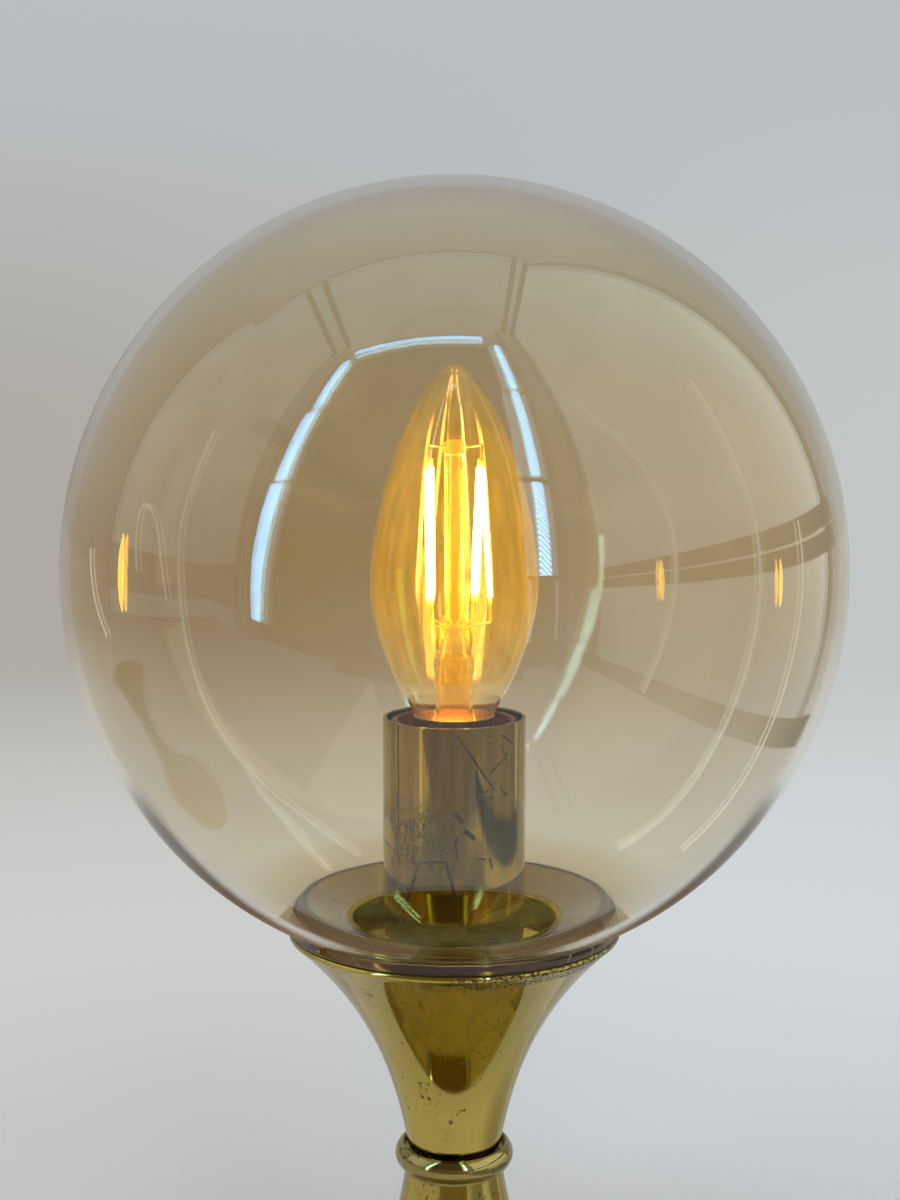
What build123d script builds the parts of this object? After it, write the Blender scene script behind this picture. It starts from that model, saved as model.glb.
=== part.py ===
from build123d import *

import os
from dataclasses import dataclass
from math import acos, cos, degrees, hypot, radians, sin

# Table lamp with a tinted glass globe. A spun brass foot and a spun brass trumpet meet at a waist
# ring, and one threaded tube on the axis clamps the whole stack, up to the lampholder. The globe
# lifts off, and the candle bulb unscrews. Millimetres, +Z up, origin under the middle of the felt.

# ---- driving dimensions ---------------------------------------------------------------------
FELT_THICK = 2.0
FELT_R = 61.5

FOOT_R = 62.0                   # outside of the upright edge
FOOT_EDGE_TOP = 14.0            # where the flare meets the upright edge
FOOT_SHOULDER = 2.5             # rounding between them
FOOT_NECK_R = 10.4
FOOT_TOP = 79.3
FOOT_WALL = 1.0

RING_BEAD_R = 12.65
RING_BASE_R = 11.1              # shoulder that stands on the foot's neck
RING_LAND_R = 11.5              # where the bead starts, above the shoulder
RING_TOP_LAND_R = 11.3          # where the bead ends, on the top face
RING_SHOULDER_TOP = 80.0
RING_TOP = 84.9
RING_RECESS_R = 10.9
RING_RECESS_FLOOR = 83.0        # the trumpet's neck stands on this

TRUMPET_NECK_R = 9.6
TRUMPET_RIM_R = 34.4            # of the flare itself, at the foot of the hem
TRUMPET_HEM_R = 35.0            # outside of the hemmed rim
TRUMPET_HEM_TOP_R = 34.8
TRUMPET_HEM_BORE = 33.3
TRUMPET_RIM = 132.4             # height of the rim, where the globe rests
TRUMPET_HEM_TALL = 1.6
TRUMPET_HEM_LAP = 0.1           # how far the hem runs down into the flare
TRUMPET_WALL = 0.8

GALLERY_TOP = 138.0
GALLERY_HOLE_R = 21.5
GALLERY_HOLE_Z = 134.1
GALLERY_LIP = 1.6               # depth of the turned-down lip at the hole
GALLERY_BEND = 1.2
GALLERY_WALL = 0.8

GLOBE_R = 80.0
GLOBE_CENTRE = 207.5
GLOBE_LOWER_R = 81.5            # the lower half is a little longer than a hemisphere
GLOBE_WALL = 2.0
GLOBE_MOUTH_R = 33.9
GLOBE_COLLAR_R = 35.3

TUBE_R = 5.0                    # M10 x 1 lamp tube
TUBE_BORE_R = 3.3
TUBE_BOTTOM = 8.0
TUBE_TOP = 133.0
TUBE_HOLE_R = 5.1               # clearance hole for the tube

NUT_ACROSS = 14.0
NUT_TALL = 4.0
NUT_CHAMFER = 0.6
WASHER_R = 8.8
WASHER_THICK = 1.2
BUSH_TALL = 8.0

WEIGHT_R = 57.5
WEIGHT_SHOULDER = 16.0
WEIGHT_TOP_R = 36.0
WEIGHT_TOP = 22.0
WEIGHT_POCKET_R = 12.0
WEIGHT_POCKET_TOP = 15.0
CABLE_CHANNEL_WIDE = 8.0
CABLE_CHANNEL_TOP = 11.2

CABLE_Z = 7.2                   # height of the cable inlet
GROMMET_BORE_R = 3.0
GROMMET_BODY_R = 3.8
GROMMET_FLANGE_R = 4.4
GROMMET_FLANGE_THICK = 1.2
GROMMET_FLANGE_CHAMFER = 0.5
GROMMET_SEAT = 0.4              # the curved wall bites this deep into the flange
GROMMET_SNAP = 1.6              # from the wall to the crest of the snap rim
GROMMET_TAIL = 1.4              # tapered end behind the snap rim

SLEEVE_R = 15.0
SLEEVE_WALL = 0.8
SLEEVE_BOTTOM = 127.5
SLEEVE_TOP = 177.1

HOLDER_R = 13.3
HOLDER_BOTTOM = SLEEVE_BOTTOM + SLEEVE_WALL
HOLDER_SPLIT = 140.3            # cap below, body above
HOLDER_SPIGOT = 3.0
HOLDER_SPIGOT_WALL = 1.6
HOLDER_WALL = 1.9
HOLDER_CHAMFER = 2.0            # round the bottom of the cap
HOLDER_LIP_CHAMFER = 0.4
HOLDER_TOP = 176.5
HOLDER_MOUTH_R = 12.0
HOLDER_MOUTH_FLOOR = 172.0
HOLDER_MOUTH_DROP = 0.6         # the mouth's floor falls this much towards the bore
HOLDER_BORE_R = 9.0
WEB_TOP = 150.0                 # insulating web that carries the contacts
WEB_THICK = 4.0
THREAD_SHELL_WALL = 0.4
THREAD_SHELL_LAND = 2.0         # ring that the thread shell stands on
TERMINAL_X = 5.4
TERMINAL_WIDE = 5.0
TERMINAL_TALL = 6.0
TERMINAL_TAIL_R = 1.2
CONTACT_RIVET_R = 0.9

E14_PITCH = 2.82
E14_CREST_R = 6.93
E14_ROOT_R = 6.2
E14_SKIRT_R = 8.5
E14_FEMALE_R = 7.1
CONTACT_TIP = 152.5
CAP_THREAD_BOTTOM = 155.6
CAP_THREAD_TURNS = 5
CAP_TOP = 177.3
CAP_WALL = 0.3
CAP_FLOOR_R = 4.6               # opening that the insulator fills
CAP_NECK_LAP = 0.3              # the envelope leaves its neck this far below the cap's top
INSULATOR_TOP_R = 4.55
TIP_R = 2.2
TIP_TALL = 0.9

BULB_R = 17.5
BULB_WIDEST = 204.0
BULB_TIP = 250.7
BULB_WALL = 0.6
BULB_NECK_R = 8.1
BULB_NECK_BOTTOM = 173.4
BULB_BELLY = ((10.0, 180.6), (14.1, 189.0))                 # radius and height, neck to widest
BULB_FLAME = ((16.2, 216.6), (11.6, 234.0), (5.0, 246.8))   # widest to tip

STEM_ROD_R = 1.9
STEM_WALL = 0.7
STEM_WAIST_R = 4.4              # of the flared foot, part way up
STEM_TOP_R = 3.4                # of the flared foot, under the press
STEM_FLARE_TALL = 6.0
STEM_PRESS_BOTTOM = 190.0
STEM_PRESS_TOP = 198.0
STEM_PRESS_WIDE = 3.8           # half the width of the flattened press
STEM_PRESS_THICK = 1.6          # half its thickness
BEAD_Z = 233.0
BEAD_R = 2.8
BEAD_FLATTENED = 0.6

FILAMENT_TOP = 230.3
FILAMENT_BOTTOM = 200.8
FILAMENT_WIDE = 1.7
FILAMENT_THICK = 0.9
FILAMENT_CORNER = 0.3
FILAMENT_TOP_R = 7.3
FILAMENT_BOTTOM_R = 7.6
FILAMENT_TOP_ANGLES = (40.0, 135.0, 225.0, 320.0)
FILAMENT_BOTTOM_ANGLES = (55.0, 130.0, 230.0, 350.0)
WIRE_R = 0.3
WIRE_TOP_KNEE = 0.4             # above the bead's middle
WIRE_BOTTOM_KNEE = 1.4          # below the top of the press
WIRE_PRESS_DEPTH = 2.0          # where the lower wires come out of the press

DRIVER_WIDE = 8.4
DRIVER_TALL = 12.0
DRIVER_THICK = 1.0
CAPACITOR_R = 2.1
CAPACITOR_TALL = 7.0

HALVINGS = 40                   # steps of a search by halving
NEAR = 0.05                     # tolerance when an edge is picked by its size and place
CUTTER_SPARE = 5.0              # how far a cutter runs out past what it cuts


# ---- shared shapes --------------------------------------------------------------------------
@dataclass(frozen=True)
class Flare:
    """A spun trumpet curve: straight taper at the neck, opening by a power law at the rim."""

    neck_r: float
    rim_r: float
    neck_z: float
    rim_z: float
    taper: float
    power: float = 2.7
    stations: int = 9

    def radius(self, z, inset=0.0):
        """Radius at a height, measured to the surface that lies inset inside the outer one."""
        t = (z - self.neck_z) / (self.rim_z - self.neck_z)
        t_safe = max(t, 0.0)
        share = self.taper * t + (1.0 - self.taper) * t_safe ** self.power
        growth = self.taper + (1.0 - self.taper) * self.power * t_safe ** (self.power - 1.0)
        slope = growth * (self.rim_r - self.neck_r) / (self.rim_z - self.neck_z)
        return self.neck_r + (self.rim_r - self.neck_r) * share - inset * hypot(1.0, slope)

    def height(self, radius, inset=0.0):
        """Height at which the curve reaches a radius, found by halving."""
        wide, slim = self.rim_z + (self.rim_z - self.neck_z) / 10, self.neck_z
        for _ in range(HALVINGS):
            middle = (wide + slim) / 2
            if self.radius(middle, inset) > radius:
                wide = middle
            else:
                slim = middle
        return (wide + slim) / 2

    def curve(self, z_low, z_high, inset=0.0):
        """The curve between two heights as a smooth line."""
        step = (z_high - z_low) / (self.stations - 1)
        heights = [z_low + i * step for i in range(self.stations)]
        return Spline(*[(self.radius(z, inset), z) for z in heights])


FOOT_FLARE = Flare(FOOT_NECK_R, FOOT_R, FOOT_TOP, FOOT_EDGE_TOP, taper=0.21)
TRUMPET_FLARE = Flare(TRUMPET_NECK_R, TRUMPET_RIM_R, RING_RECESS_FLOOR,
                      TRUMPET_RIM - TRUMPET_HEM_TALL, taper=0.37)


def turned(*lines):
    """Turn a closed outline, drawn as radius and height, about the axis."""
    return revolve(Plane.XZ * make_face(lines), Axis.Z)


def turned_polygon(*points):
    """Turn a straight-sided outline about the axis."""
    return turned(Polyline(*points, close=True))


def disc(radius, z_low, z_high):
    """A round disc on the axis between two heights."""
    return Pos(0, 0, z_low) * extrude(Circle(radius), z_high - z_low)


def collar(outer_r, inner_r, z_low, z_high):
    """A round ring on the axis between two heights."""
    return Pos(0, 0, z_low) * extrude(Circle(outer_r) - Circle(inner_r), z_high - z_low)


def rod_between(start, end, radius):
    """A round wire from one point to another."""
    run = Vector(*end) - Vector(*start)
    return Plane(origin=start, z_dir=run) * extrude(Circle(radius), run.length)


def round_edge(solid, radius, z, size):
    """Round the circular edge of a given radius and height."""
    near = [edge for edge in solid.edges().filter_by(GeomType.CIRCLE)
            if abs(edge.radius - radius) < NEAR and abs(edge.arc_center.Z - z) < NEAR]
    return fillet(near, size)


# ---- foot -----------------------------------------------------------------------------------
def foot_form(inset):
    """The foot as a filled form: an upright edge that runs into the flare."""
    edge_r = FOOT_R - inset
    edge_top = FOOT_FLARE.height(edge_r, inset)
    neck_r = FOOT_FLARE.radius(FOOT_TOP, inset)
    flare = FOOT_FLARE.curve(edge_top, FOOT_TOP, inset)
    rest = Polyline((neck_r, FOOT_TOP), (0, FOOT_TOP), (0, FELT_THICK), (edge_r, FELT_THICK),
                    (edge_r, edge_top))
    return round_edge(turned(flare, rest), edge_r, edge_top, FOOT_SHOULDER)


def towards_rear(solid):
    """Lay a solid drawn up the Z axis along the cable's line, out through the rear of the foot."""
    return Pos(0, 0, CABLE_Z) * Rot(-90, 0, 0) * solid


def cable_hole():
    """Cutter for the hole that the grommet snaps into."""
    return towards_rear(disc(GROMMET_BODY_R, 0, FOOT_R + CUTTER_SPARE))


def foot_shell():
    """Spun brass foot, open below, with a hole at the rear for the cable."""
    return foot_form(0.0) - foot_form(FOOT_WALL) - cable_hole()


def cable_grommet():
    """Push-in grommet: an outer flange, a body through the wall and a snap rim inside it."""
    wall_inside = FOOT_R - FOOT_WALL
    neck_low, neck_high = wall_inside - GROMMET_SEAT, FOOT_R - GROMMET_SEAT
    snap = wall_inside - GROMMET_SNAP
    tail = snap - GROMMET_TAIL
    face = FOOT_R + GROMMET_FLANGE_THICK
    chamfered_r = GROMMET_FLANGE_R - GROMMET_FLANGE_CHAMFER
    body = turned_polygon((GROMMET_BORE_R, tail), (chamfered_r, tail), (GROMMET_FLANGE_R, snap),
                          (GROMMET_FLANGE_R, neck_low), (GROMMET_BODY_R, neck_low),
                          (GROMMET_BODY_R, neck_high), (GROMMET_FLANGE_R, neck_high),
                          (GROMMET_FLANGE_R, face - GROMMET_FLANGE_CHAMFER), (chamfered_r, face),
                          (GROMMET_BORE_R, face))
    foot_wall = collar(FOOT_R, wall_inside, 0, FOOT_EDGE_TOP)
    return towards_rear(body) - (foot_wall - cable_hole())


def base_weight():
    """Cast iron weight that fills the foot, with a pocket for the nut and a channel for the cable."""
    casting = turned_polygon((0, FELT_THICK), (WEIGHT_R, FELT_THICK), (WEIGHT_R, WEIGHT_SHOULDER),
                             (WEIGHT_TOP_R, WEIGHT_TOP), (0, WEIGHT_TOP))
    casting &= foot_form(FOOT_WALL)
    casting -= disc(WEIGHT_POCKET_R, FELT_THICK, WEIGHT_POCKET_TOP)
    casting -= disc(TUBE_HOLE_R, FELT_THICK, WEIGHT_TOP)
    channel = Box(CABLE_CHANNEL_WIDE, FOOT_R, CABLE_CHANNEL_TOP - FELT_THICK,
                  align=(Align.CENTER, Align.MIN, Align.MIN))
    return casting - Pos(0, 0, FELT_THICK) * channel


def felt_pad():
    """Felt disc glued under the foot."""
    return disc(FELT_R, 0, FELT_THICK)


def neck_bush(form, z_low, z_high):
    """Turned bush soldered inside a spun neck, bored for the tube."""
    return (form & disc(FOOT_R, z_low, z_high)) - disc(TUBE_HOLE_R, z_low, z_high)


# ---- threaded tube and what clamps it -------------------------------------------------------
def threaded_tube():
    """Hollow tube that carries the wires up the axis."""
    return collar(TUBE_R, TUBE_BORE_R, TUBE_BOTTOM, TUBE_TOP)


def tube_nut(z_low):
    """Thin hexagon nut with chamfered corners."""
    hexagon = RegularPolygon(NUT_ACROSS / 2, 6, major_radius=False) - Circle(TUBE_R)
    nut = Pos(0, 0, z_low) * extrude(hexagon, NUT_TALL)
    flat = NUT_ACROSS / 2
    corner = flat / cos(radians(30))
    z_high = z_low + NUT_TALL
    dressing = turned_polygon((0, z_low), (flat, z_low), (corner, z_low + NUT_CHAMFER),
                              (corner, z_high - NUT_CHAMFER), (flat, z_high), (0, z_high))
    return nut & dressing


def tube_nuts():
    """Three nuts: under the weight, inside the trumpet and under the sleeve."""
    foot_nut = WEIGHT_POCKET_TOP - WASHER_THICK - NUT_TALL
    trumpet_nut = RING_RECESS_FLOOR + BUSH_TALL + WASHER_THICK
    return [tube_nut(z) for z in (foot_nut, trumpet_nut, SLEEVE_BOTTOM - NUT_TALL)]


def tube_washers():
    """Two washers, each between a nut and what it clamps."""
    seats = (WEIGHT_POCKET_TOP - WASHER_THICK, RING_RECESS_FLOOR + BUSH_TALL)
    return [collar(WASHER_R, TUBE_HOLE_R, z, z + WASHER_THICK) for z in seats]


# ---- waist, trumpet and gallery -------------------------------------------------------------
def waist_ring():
    """Turned ring: a shoulder on the foot's neck, a half-round bead and a recess for the trumpet."""
    middle = (RING_SHOULDER_TOP + RING_TOP) / 2
    bead = ThreePointArc((RING_LAND_R, RING_SHOULDER_TOP), (RING_BEAD_R, middle),
                         (RING_TOP_LAND_R, RING_TOP))
    rest = Polyline((RING_TOP_LAND_R, RING_TOP), (RING_RECESS_R, RING_TOP),
                    (RING_RECESS_R, RING_RECESS_FLOOR), (TUBE_HOLE_R, RING_RECESS_FLOOR),
                    (TUBE_HOLE_R, FOOT_TOP), (RING_BASE_R, FOOT_TOP),
                    (RING_BASE_R, RING_SHOULDER_TOP), (RING_LAND_R, RING_SHOULDER_TOP))
    return turned(bead, rest)


def trumpet_form(inset):
    """The trumpet as a filled form, without its hem."""
    low, high = RING_RECESS_FLOOR, TRUMPET_RIM - TRUMPET_HEM_TALL
    ends = Polyline((TRUMPET_FLARE.radius(high, inset), high), (0, high), (0, low),
                    (TRUMPET_FLARE.radius(low, inset), low))
    return turned(TRUMPET_FLARE.curve(low, high, inset), ends)


def trumpet_shell():
    """Spun brass trumpet with a hemmed rim that carries the globe."""
    hem_foot = TRUMPET_RIM - TRUMPET_HEM_TALL
    lap = hem_foot - TRUMPET_HEM_LAP
    roll = ThreePointArc((TRUMPET_RIM_R, lap), (TRUMPET_HEM_R, (hem_foot + TRUMPET_RIM) / 2),
                         (TRUMPET_HEM_TOP_R, TRUMPET_RIM))
    rest = Polyline((TRUMPET_HEM_TOP_R, TRUMPET_RIM), (TRUMPET_HEM_BORE, TRUMPET_RIM),
                    (TRUMPET_HEM_BORE, lap), (TRUMPET_RIM_R, lap))
    return trumpet_form(0.0) - trumpet_form(TRUMPET_WALL) + turned(roll, rest)


def gallery_ring():
    """Spun dish in the trumpet's rim: a skirt that locates the globe, turned in and down to a hole."""
    skirt_r = TRUMPET_HEM_BORE
    skirt_bottom = TRUMPET_RIM - TRUMPET_HEM_TALL
    line = FilletPolyline((skirt_r, skirt_bottom), (skirt_r, GALLERY_TOP),
                          (GALLERY_HOLE_R, GALLERY_HOLE_Z),
                          (GALLERY_HOLE_R, GALLERY_HOLE_Z - GALLERY_LIP), radius=GALLERY_BEND)
    return turned(offset(line, amount=GALLERY_WALL, side=Side.LEFT))


# ---- globe ----------------------------------------------------------------------------------
def globe_wall_lines(radius, lower, mouth_r):
    """One side of the glass from the crown to the mouth: a quarter circle, an ellipse, a collar."""
    centre = (0, GLOBE_CENTRE)
    crown = CenterArc(centre, radius, 90, -90)
    sweep = degrees(acos(mouth_r / radius))
    belly = EllipticalCenterArc(centre, radius, lower, start_angle=0, arc_size=-sweep)
    collar_top = belly @ 1
    return crown, belly, Line((collar_top.X, collar_top.Y), (mouth_r, TRUMPET_RIM))


def glass_globe():
    """Blown globe, a little longer below its middle, with a short collar round the mouth."""
    outside = globe_wall_lines(GLOBE_R, GLOBE_LOWER_R, GLOBE_COLLAR_R)
    inside = globe_wall_lines(GLOBE_R - GLOBE_WALL, GLOBE_LOWER_R - GLOBE_WALL, GLOBE_MOUTH_R)
    edge = Line((GLOBE_COLLAR_R, TRUMPET_RIM), (GLOBE_MOUTH_R, TRUMPET_RIM))
    crown = Line((0, GLOBE_CENTRE + GLOBE_R), (0, GLOBE_CENTRE + GLOBE_R - GLOBE_WALL))
    return turned(*outside, edge, *inside, crown)


# ---- sleeve and lampholder ------------------------------------------------------------------
def socket_sleeve():
    """Drawn brass cup round the lampholder, its floor clamped on the tube."""
    cup = disc(SLEEVE_R, SLEEVE_BOTTOM, SLEEVE_TOP)
    cup -= disc(SLEEVE_R - SLEEVE_WALL, SLEEVE_BOTTOM + SLEEVE_WALL, SLEEVE_TOP)
    return cup - disc(TUBE_HOLE_R, SLEEVE_BOTTOM, SLEEVE_TOP)


def lampholder_cap():
    """Moulded cap that screws on the tube: rounded bottom, thread boss and wiring room above it."""
    floor_top = HOLDER_BOTTOM + HOLDER_CHAMFER + HOLDER_WALL
    room_r = HOLDER_R - HOLDER_WALL
    return turned_polygon((TUBE_R, HOLDER_BOTTOM), (HOLDER_R - HOLDER_CHAMFER, HOLDER_BOTTOM),
                          (HOLDER_R, HOLDER_BOTTOM + HOLDER_CHAMFER), (HOLDER_R, HOLDER_SPLIT),
                          (room_r, HOLDER_SPLIT), (room_r, floor_top), (TUBE_R, floor_top))


def lampholder_body():
    """Moulded body: spigot below, web across the middle, bore for the thread shell, wide mouth."""
    spigot_r = HOLDER_R - HOLDER_WALL
    spigot_bore = spigot_r - HOLDER_SPIGOT_WALL
    spigot_bottom = HOLDER_SPLIT - HOLDER_SPIGOT
    web_bottom = WEB_TOP - WEB_THICK
    body = turned_polygon((0, web_bottom), (spigot_bore, web_bottom), (spigot_bore, spigot_bottom),
                          (spigot_r, spigot_bottom), (spigot_r, HOLDER_SPLIT), (HOLDER_R, HOLDER_SPLIT),
                          (HOLDER_R, HOLDER_TOP - HOLDER_LIP_CHAMFER),
                          (HOLDER_R - HOLDER_LIP_CHAMFER, HOLDER_TOP), (HOLDER_MOUTH_R, HOLDER_TOP),
                          (HOLDER_MOUTH_R, HOLDER_MOUTH_FLOOR),
                          (HOLDER_BORE_R, HOLDER_MOUTH_FLOOR - HOLDER_MOUTH_DROP),
                          (HOLDER_BORE_R, WEB_TOP), (0, WEB_TOP))
    for side in (-1, 1):
        body -= Pos(side * TERMINAL_X, 0, 0) * disc(TERMINAL_TAIL_R, web_bottom, WEB_TOP)
    return body - disc(CONTACT_RIVET_R, web_bottom, WEB_TOP)


def ripple(root_r, crest_r, z_low):
    """Points of a rolled thread drawn as rings: up the crests and roots from the lowest root."""
    crest_start, crest_end = 0.35 * E14_PITCH, 0.65 * E14_PITCH
    points = []
    for turn in range(CAP_THREAD_TURNS):
        z = z_low + turn * E14_PITCH
        points += [(root_r, z), (crest_r, z + crest_start), (crest_r, z + crest_end)]
    return points + [(root_r, z_low + CAP_THREAD_TURNS * E14_PITCH)]


def lampholder_thread():
    """Thread shell of the lampholder: a rippled cup that stands on the web."""
    wall = THREAD_SHELL_WALL
    floor_top = WEB_TOP + wall
    thread_low = CAP_THREAD_BOTTOM + wall
    land_r = E14_FEMALE_R - THREAD_SHELL_LAND
    outside = ripple(E14_FEMALE_R + wall, E14_FEMALE_R + 2 * wall, thread_low)
    inside = ripple(E14_FEMALE_R, E14_FEMALE_R + wall, thread_low)
    return turned_polygon((land_r, floor_top), (land_r, WEB_TOP), (E14_FEMALE_R + wall, WEB_TOP),
                          *outside, *reversed(inside), (E14_FEMALE_R, floor_top))


def lampholder_contact():
    """Sprung centre contact: a bronze strip folded back over itself, with its rivet."""
    thick, wide, reach = 0.3, 3.6, 3.2
    gap, short_end, rivet_head = 0.05, 1.9, 0.6
    top = CONTACT_TIP - gap - thick / 2
    base = WEB_TOP + thick / 2
    bend = (top - base) / 2
    path = [Line((-reach, base), (reach - bend, base)),
            ThreePointArc((reach - bend, base), (reach, base + bend), (reach - bend, top)),
            Line((reach - bend, top), (-short_end, top))]
    strip = offset(Wire([line.edge() for line in path]), amount=thick / 2, side=Side.BOTH)
    leaf = Pos(0, wide / 2, 0) * extrude(Plane.XZ * make_face(strip), wide)
    return leaf + disc(CONTACT_RIVET_R, WEB_TOP - WEB_THICK - rivet_head, base)


def lampholder_terminals():
    """Two brass terminal blocks under the web, each with a tail up through it."""
    web_bottom = WEB_TOP - WEB_THICK
    wire_hole_r, wire_hole_drop, edge = 0.9, 3.4, 0.5
    block = Box(TERMINAL_WIDE, TERMINAL_WIDE, TERMINAL_TALL, align=(Align.CENTER, Align.CENTER, Align.MAX))
    block = chamfer(block.edges().filter_by(Axis.Z), edge)
    block -= Pos(0, 0, -wire_hole_drop) * Rot(90, 0, 0) * Cylinder(wire_hole_r, TERMINAL_WIDE + edge)
    block += disc(TERMINAL_TAIL_R, 0, WEB_THICK)
    return [Pos(side * TERMINAL_X, 0, web_bottom) * block for side in (-1, 1)]


def terminal_screws():
    """Two slotted screws that close the terminal blocks from below."""
    head_r, head_tall, slot_wide, slot_deep = 1.9, 1.4, 0.6, 0.7
    head_top = WEB_TOP - WEB_THICK - TERMINAL_TALL
    slot = Box(2 * head_r + slot_wide, slot_wide, 2 * slot_deep)
    head = disc(head_r, -head_tall, 0) - Pos(0, 0, -head_tall) * slot
    return [Pos(side * TERMINAL_X, 0, head_top) * head for side in (-1, 1)]


# ---- candle bulb ----------------------------------------------------------------------------
def bulb_profile(inset):
    """Half outline of the candle envelope, from its cut neck up to the tip."""
    stations = [(radius - inset, z) for radius, z in BULB_BELLY]
    flame_stations = [(radius - inset, z) for radius, z in BULB_FLAME]
    widest = (BULB_R - inset, BULB_WIDEST)
    belly = Spline((BULB_NECK_R - inset, CAP_TOP - CAP_NECK_LAP), *stations, widest,
                   tangents=((0.25, 1), (0, 1)))
    flame = Spline(widest, *flame_stations, (0, BULB_TIP - inset), tangents=((0, 1), (-1, 0)))
    return belly, flame


def bulb_envelope():
    """Thin blown glass of the candle bulb."""
    inner_r = BULB_NECK_R - BULB_WALL
    neck_top = CAP_TOP - CAP_NECK_LAP
    neck = Line((BULB_NECK_R, BULB_NECK_BOTTOM), (BULB_NECK_R, neck_top))
    neck_in = Line((inner_r, BULB_NECK_BOTTOM), (inner_r, neck_top))
    cut = Line((inner_r, BULB_NECK_BOTTOM), (BULB_NECK_R, BULB_NECK_BOTTOM))
    tip = Line((0, BULB_TIP), (0, BULB_TIP - BULB_WALL))
    return turned(neck, cut, neck_in, tip, *bulb_profile(0.0), *bulb_profile(BULB_WALL))


def stem_flare_line(inset, z_low):
    """Curve of the stem's flared foot, from the neck of the bulb up to the press."""
    return Spline((BULB_NECK_R - BULB_WALL - inset, z_low),
                  (STEM_WAIST_R - inset, z_low + STEM_FLARE_TALL),
                  (STEM_TOP_R - inset, STEM_PRESS_BOTTOM), tangents=((-0.4, 1), (0, 1)))


def bulb_stem():
    """Glass mount: a flare from the neck, a flattened press, a rod and the bead that holds the wires."""
    z_low = BULB_NECK_BOTTOM + 1.0
    outside, inside = stem_flare_line(0.0, z_low), stem_flare_line(STEM_WALL, z_low)
    flare = turned(outside, inside, Line(outside @ 0, inside @ 0), Line(outside @ 1, inside @ 1))
    press = loft([Plane.XY.offset(STEM_PRESS_BOTTOM) * Circle(STEM_TOP_R),
                  Plane.XY.offset(STEM_PRESS_TOP) * Ellipse(STEM_PRESS_WIDE, STEM_PRESS_THICK)])
    rod = disc(STEM_ROD_R, STEM_PRESS_TOP - WIRE_PRESS_DEPTH / 2, BEAD_Z)
    bead = Pos(0, 0, BEAD_Z) * scale(Sphere(BEAD_R), by=(1, 1, BEAD_FLATTENED))
    return flare + press + rod + bead


def filament_ends():
    """Top and bottom points of the four filaments round the stem."""
    ends = []
    for high, low in zip(FILAMENT_TOP_ANGLES, FILAMENT_BOTTOM_ANGLES):
        top = (FILAMENT_TOP_R * cos(radians(high)), FILAMENT_TOP_R * sin(radians(high)), FILAMENT_TOP)
        bottom = (FILAMENT_BOTTOM_R * cos(radians(low)), FILAMENT_BOTTOM_R * sin(radians(low)),
                  FILAMENT_BOTTOM)
        ends.append((top, bottom))
    return ends


def bulb_filaments():
    """Four coated light strips, each a slim bar leaning between its two wires."""
    bars = []
    for top, bottom in filament_ends():
        run = Vector(*top) - Vector(*bottom)
        outward = Vector(bottom[0], bottom[1], 0)
        across = run.cross(outward)
        bar = extrude(RectangleRounded(FILAMENT_WIDE, FILAMENT_THICK, FILAMENT_CORNER), run.length)
        bars.append(Plane(origin=bottom, x_dir=across, z_dir=run) * bar)
    return bars


def bent_wire(start, knee, end):
    """A thin wire from one point to another by way of a rounded knee."""
    return rod_between(start, knee, WIRE_R) + rod_between(knee, end, WIRE_R) + Pos(knee) * Sphere(WIRE_R)


def bulb_wires():
    """Support wires: from the bead out to each strip's top, and from the press to its bottom."""
    sunk = BEAD_R - 0.5
    along_press, across_press = 0.35, 0.12
    wires = []
    for top, bottom in filament_ends():
        bead_side = Vector(top[0], top[1], 0).normalized() * sunk + Vector(0, 0, BEAD_Z)
        top_knee = Vector(top[0], top[1], BEAD_Z + WIRE_TOP_KNEE)
        press_side = Vector(bottom[0] * along_press, bottom[1] * across_press,
                            STEM_PRESS_TOP - WIRE_PRESS_DEPTH)
        bottom_knee = Vector(bottom[0], bottom[1], STEM_PRESS_TOP - WIRE_BOTTOM_KNEE)
        wires.append(bent_wire(bead_side, top_knee, Vector(*top)))
        wires.append(bent_wire(press_side, bottom_knee, Vector(*bottom)))
    return wires


def bulb_cap():
    """Screw cap: a flared skirt on the neck, rolled thread rings and a turned-in lower edge."""
    neck_fit, turned_in, skirt_taper, edge = 0.05, 0.6, 3.0, 0.2
    skirt_low = CAP_THREAD_BOTTOM + CAP_THREAD_TURNS * E14_PITCH
    skirt_high = skirt_low + skirt_taper
    thread = ripple(E14_ROOT_R, E14_CREST_R, CAP_THREAD_BOTTOM)
    throat = (E14_ROOT_R, skirt_low + turned_in)
    outside = [*thread, throat, (E14_SKIRT_R - edge, skirt_high), (E14_SKIRT_R, CAP_TOP)]
    inside = [(radius - CAP_WALL, z) for radius, z in [*thread, throat]]
    inside += [(BULB_NECK_R + neck_fit, skirt_high + CAP_WALL), (BULB_NECK_R + neck_fit, CAP_TOP)]
    floor_low = CAP_THREAD_BOTTOM - turned_in
    return turned_polygon((CAP_FLOOR_R, floor_low), *outside, *reversed(inside),
                          (CAP_FLOOR_R, floor_low + CAP_WALL))


def bulb_insulator():
    """Black glass cone between the screw cap and the tip contact."""
    low, high = CONTACT_TIP + TIP_TALL, CAP_THREAD_BOTTOM + 0.2
    return turned_polygon((0, low), (TIP_R, low), (INSULATOR_TOP_R, CAP_THREAD_BOTTOM - 0.7),
                          (INSULATOR_TOP_R, high), (0, high))


def bulb_contact():
    """Soldered tip contact, a shallow dome."""
    rim = CONTACT_TIP + TIP_TALL
    dome = ThreePointArc((0, CONTACT_TIP), (TIP_R * 0.7, CONTACT_TIP + TIP_TALL * 0.4), (TIP_R, rim))
    return turned(dome, Polyline((TIP_R, rim), (0, rim), (0, CONTACT_TIP)))


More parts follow.
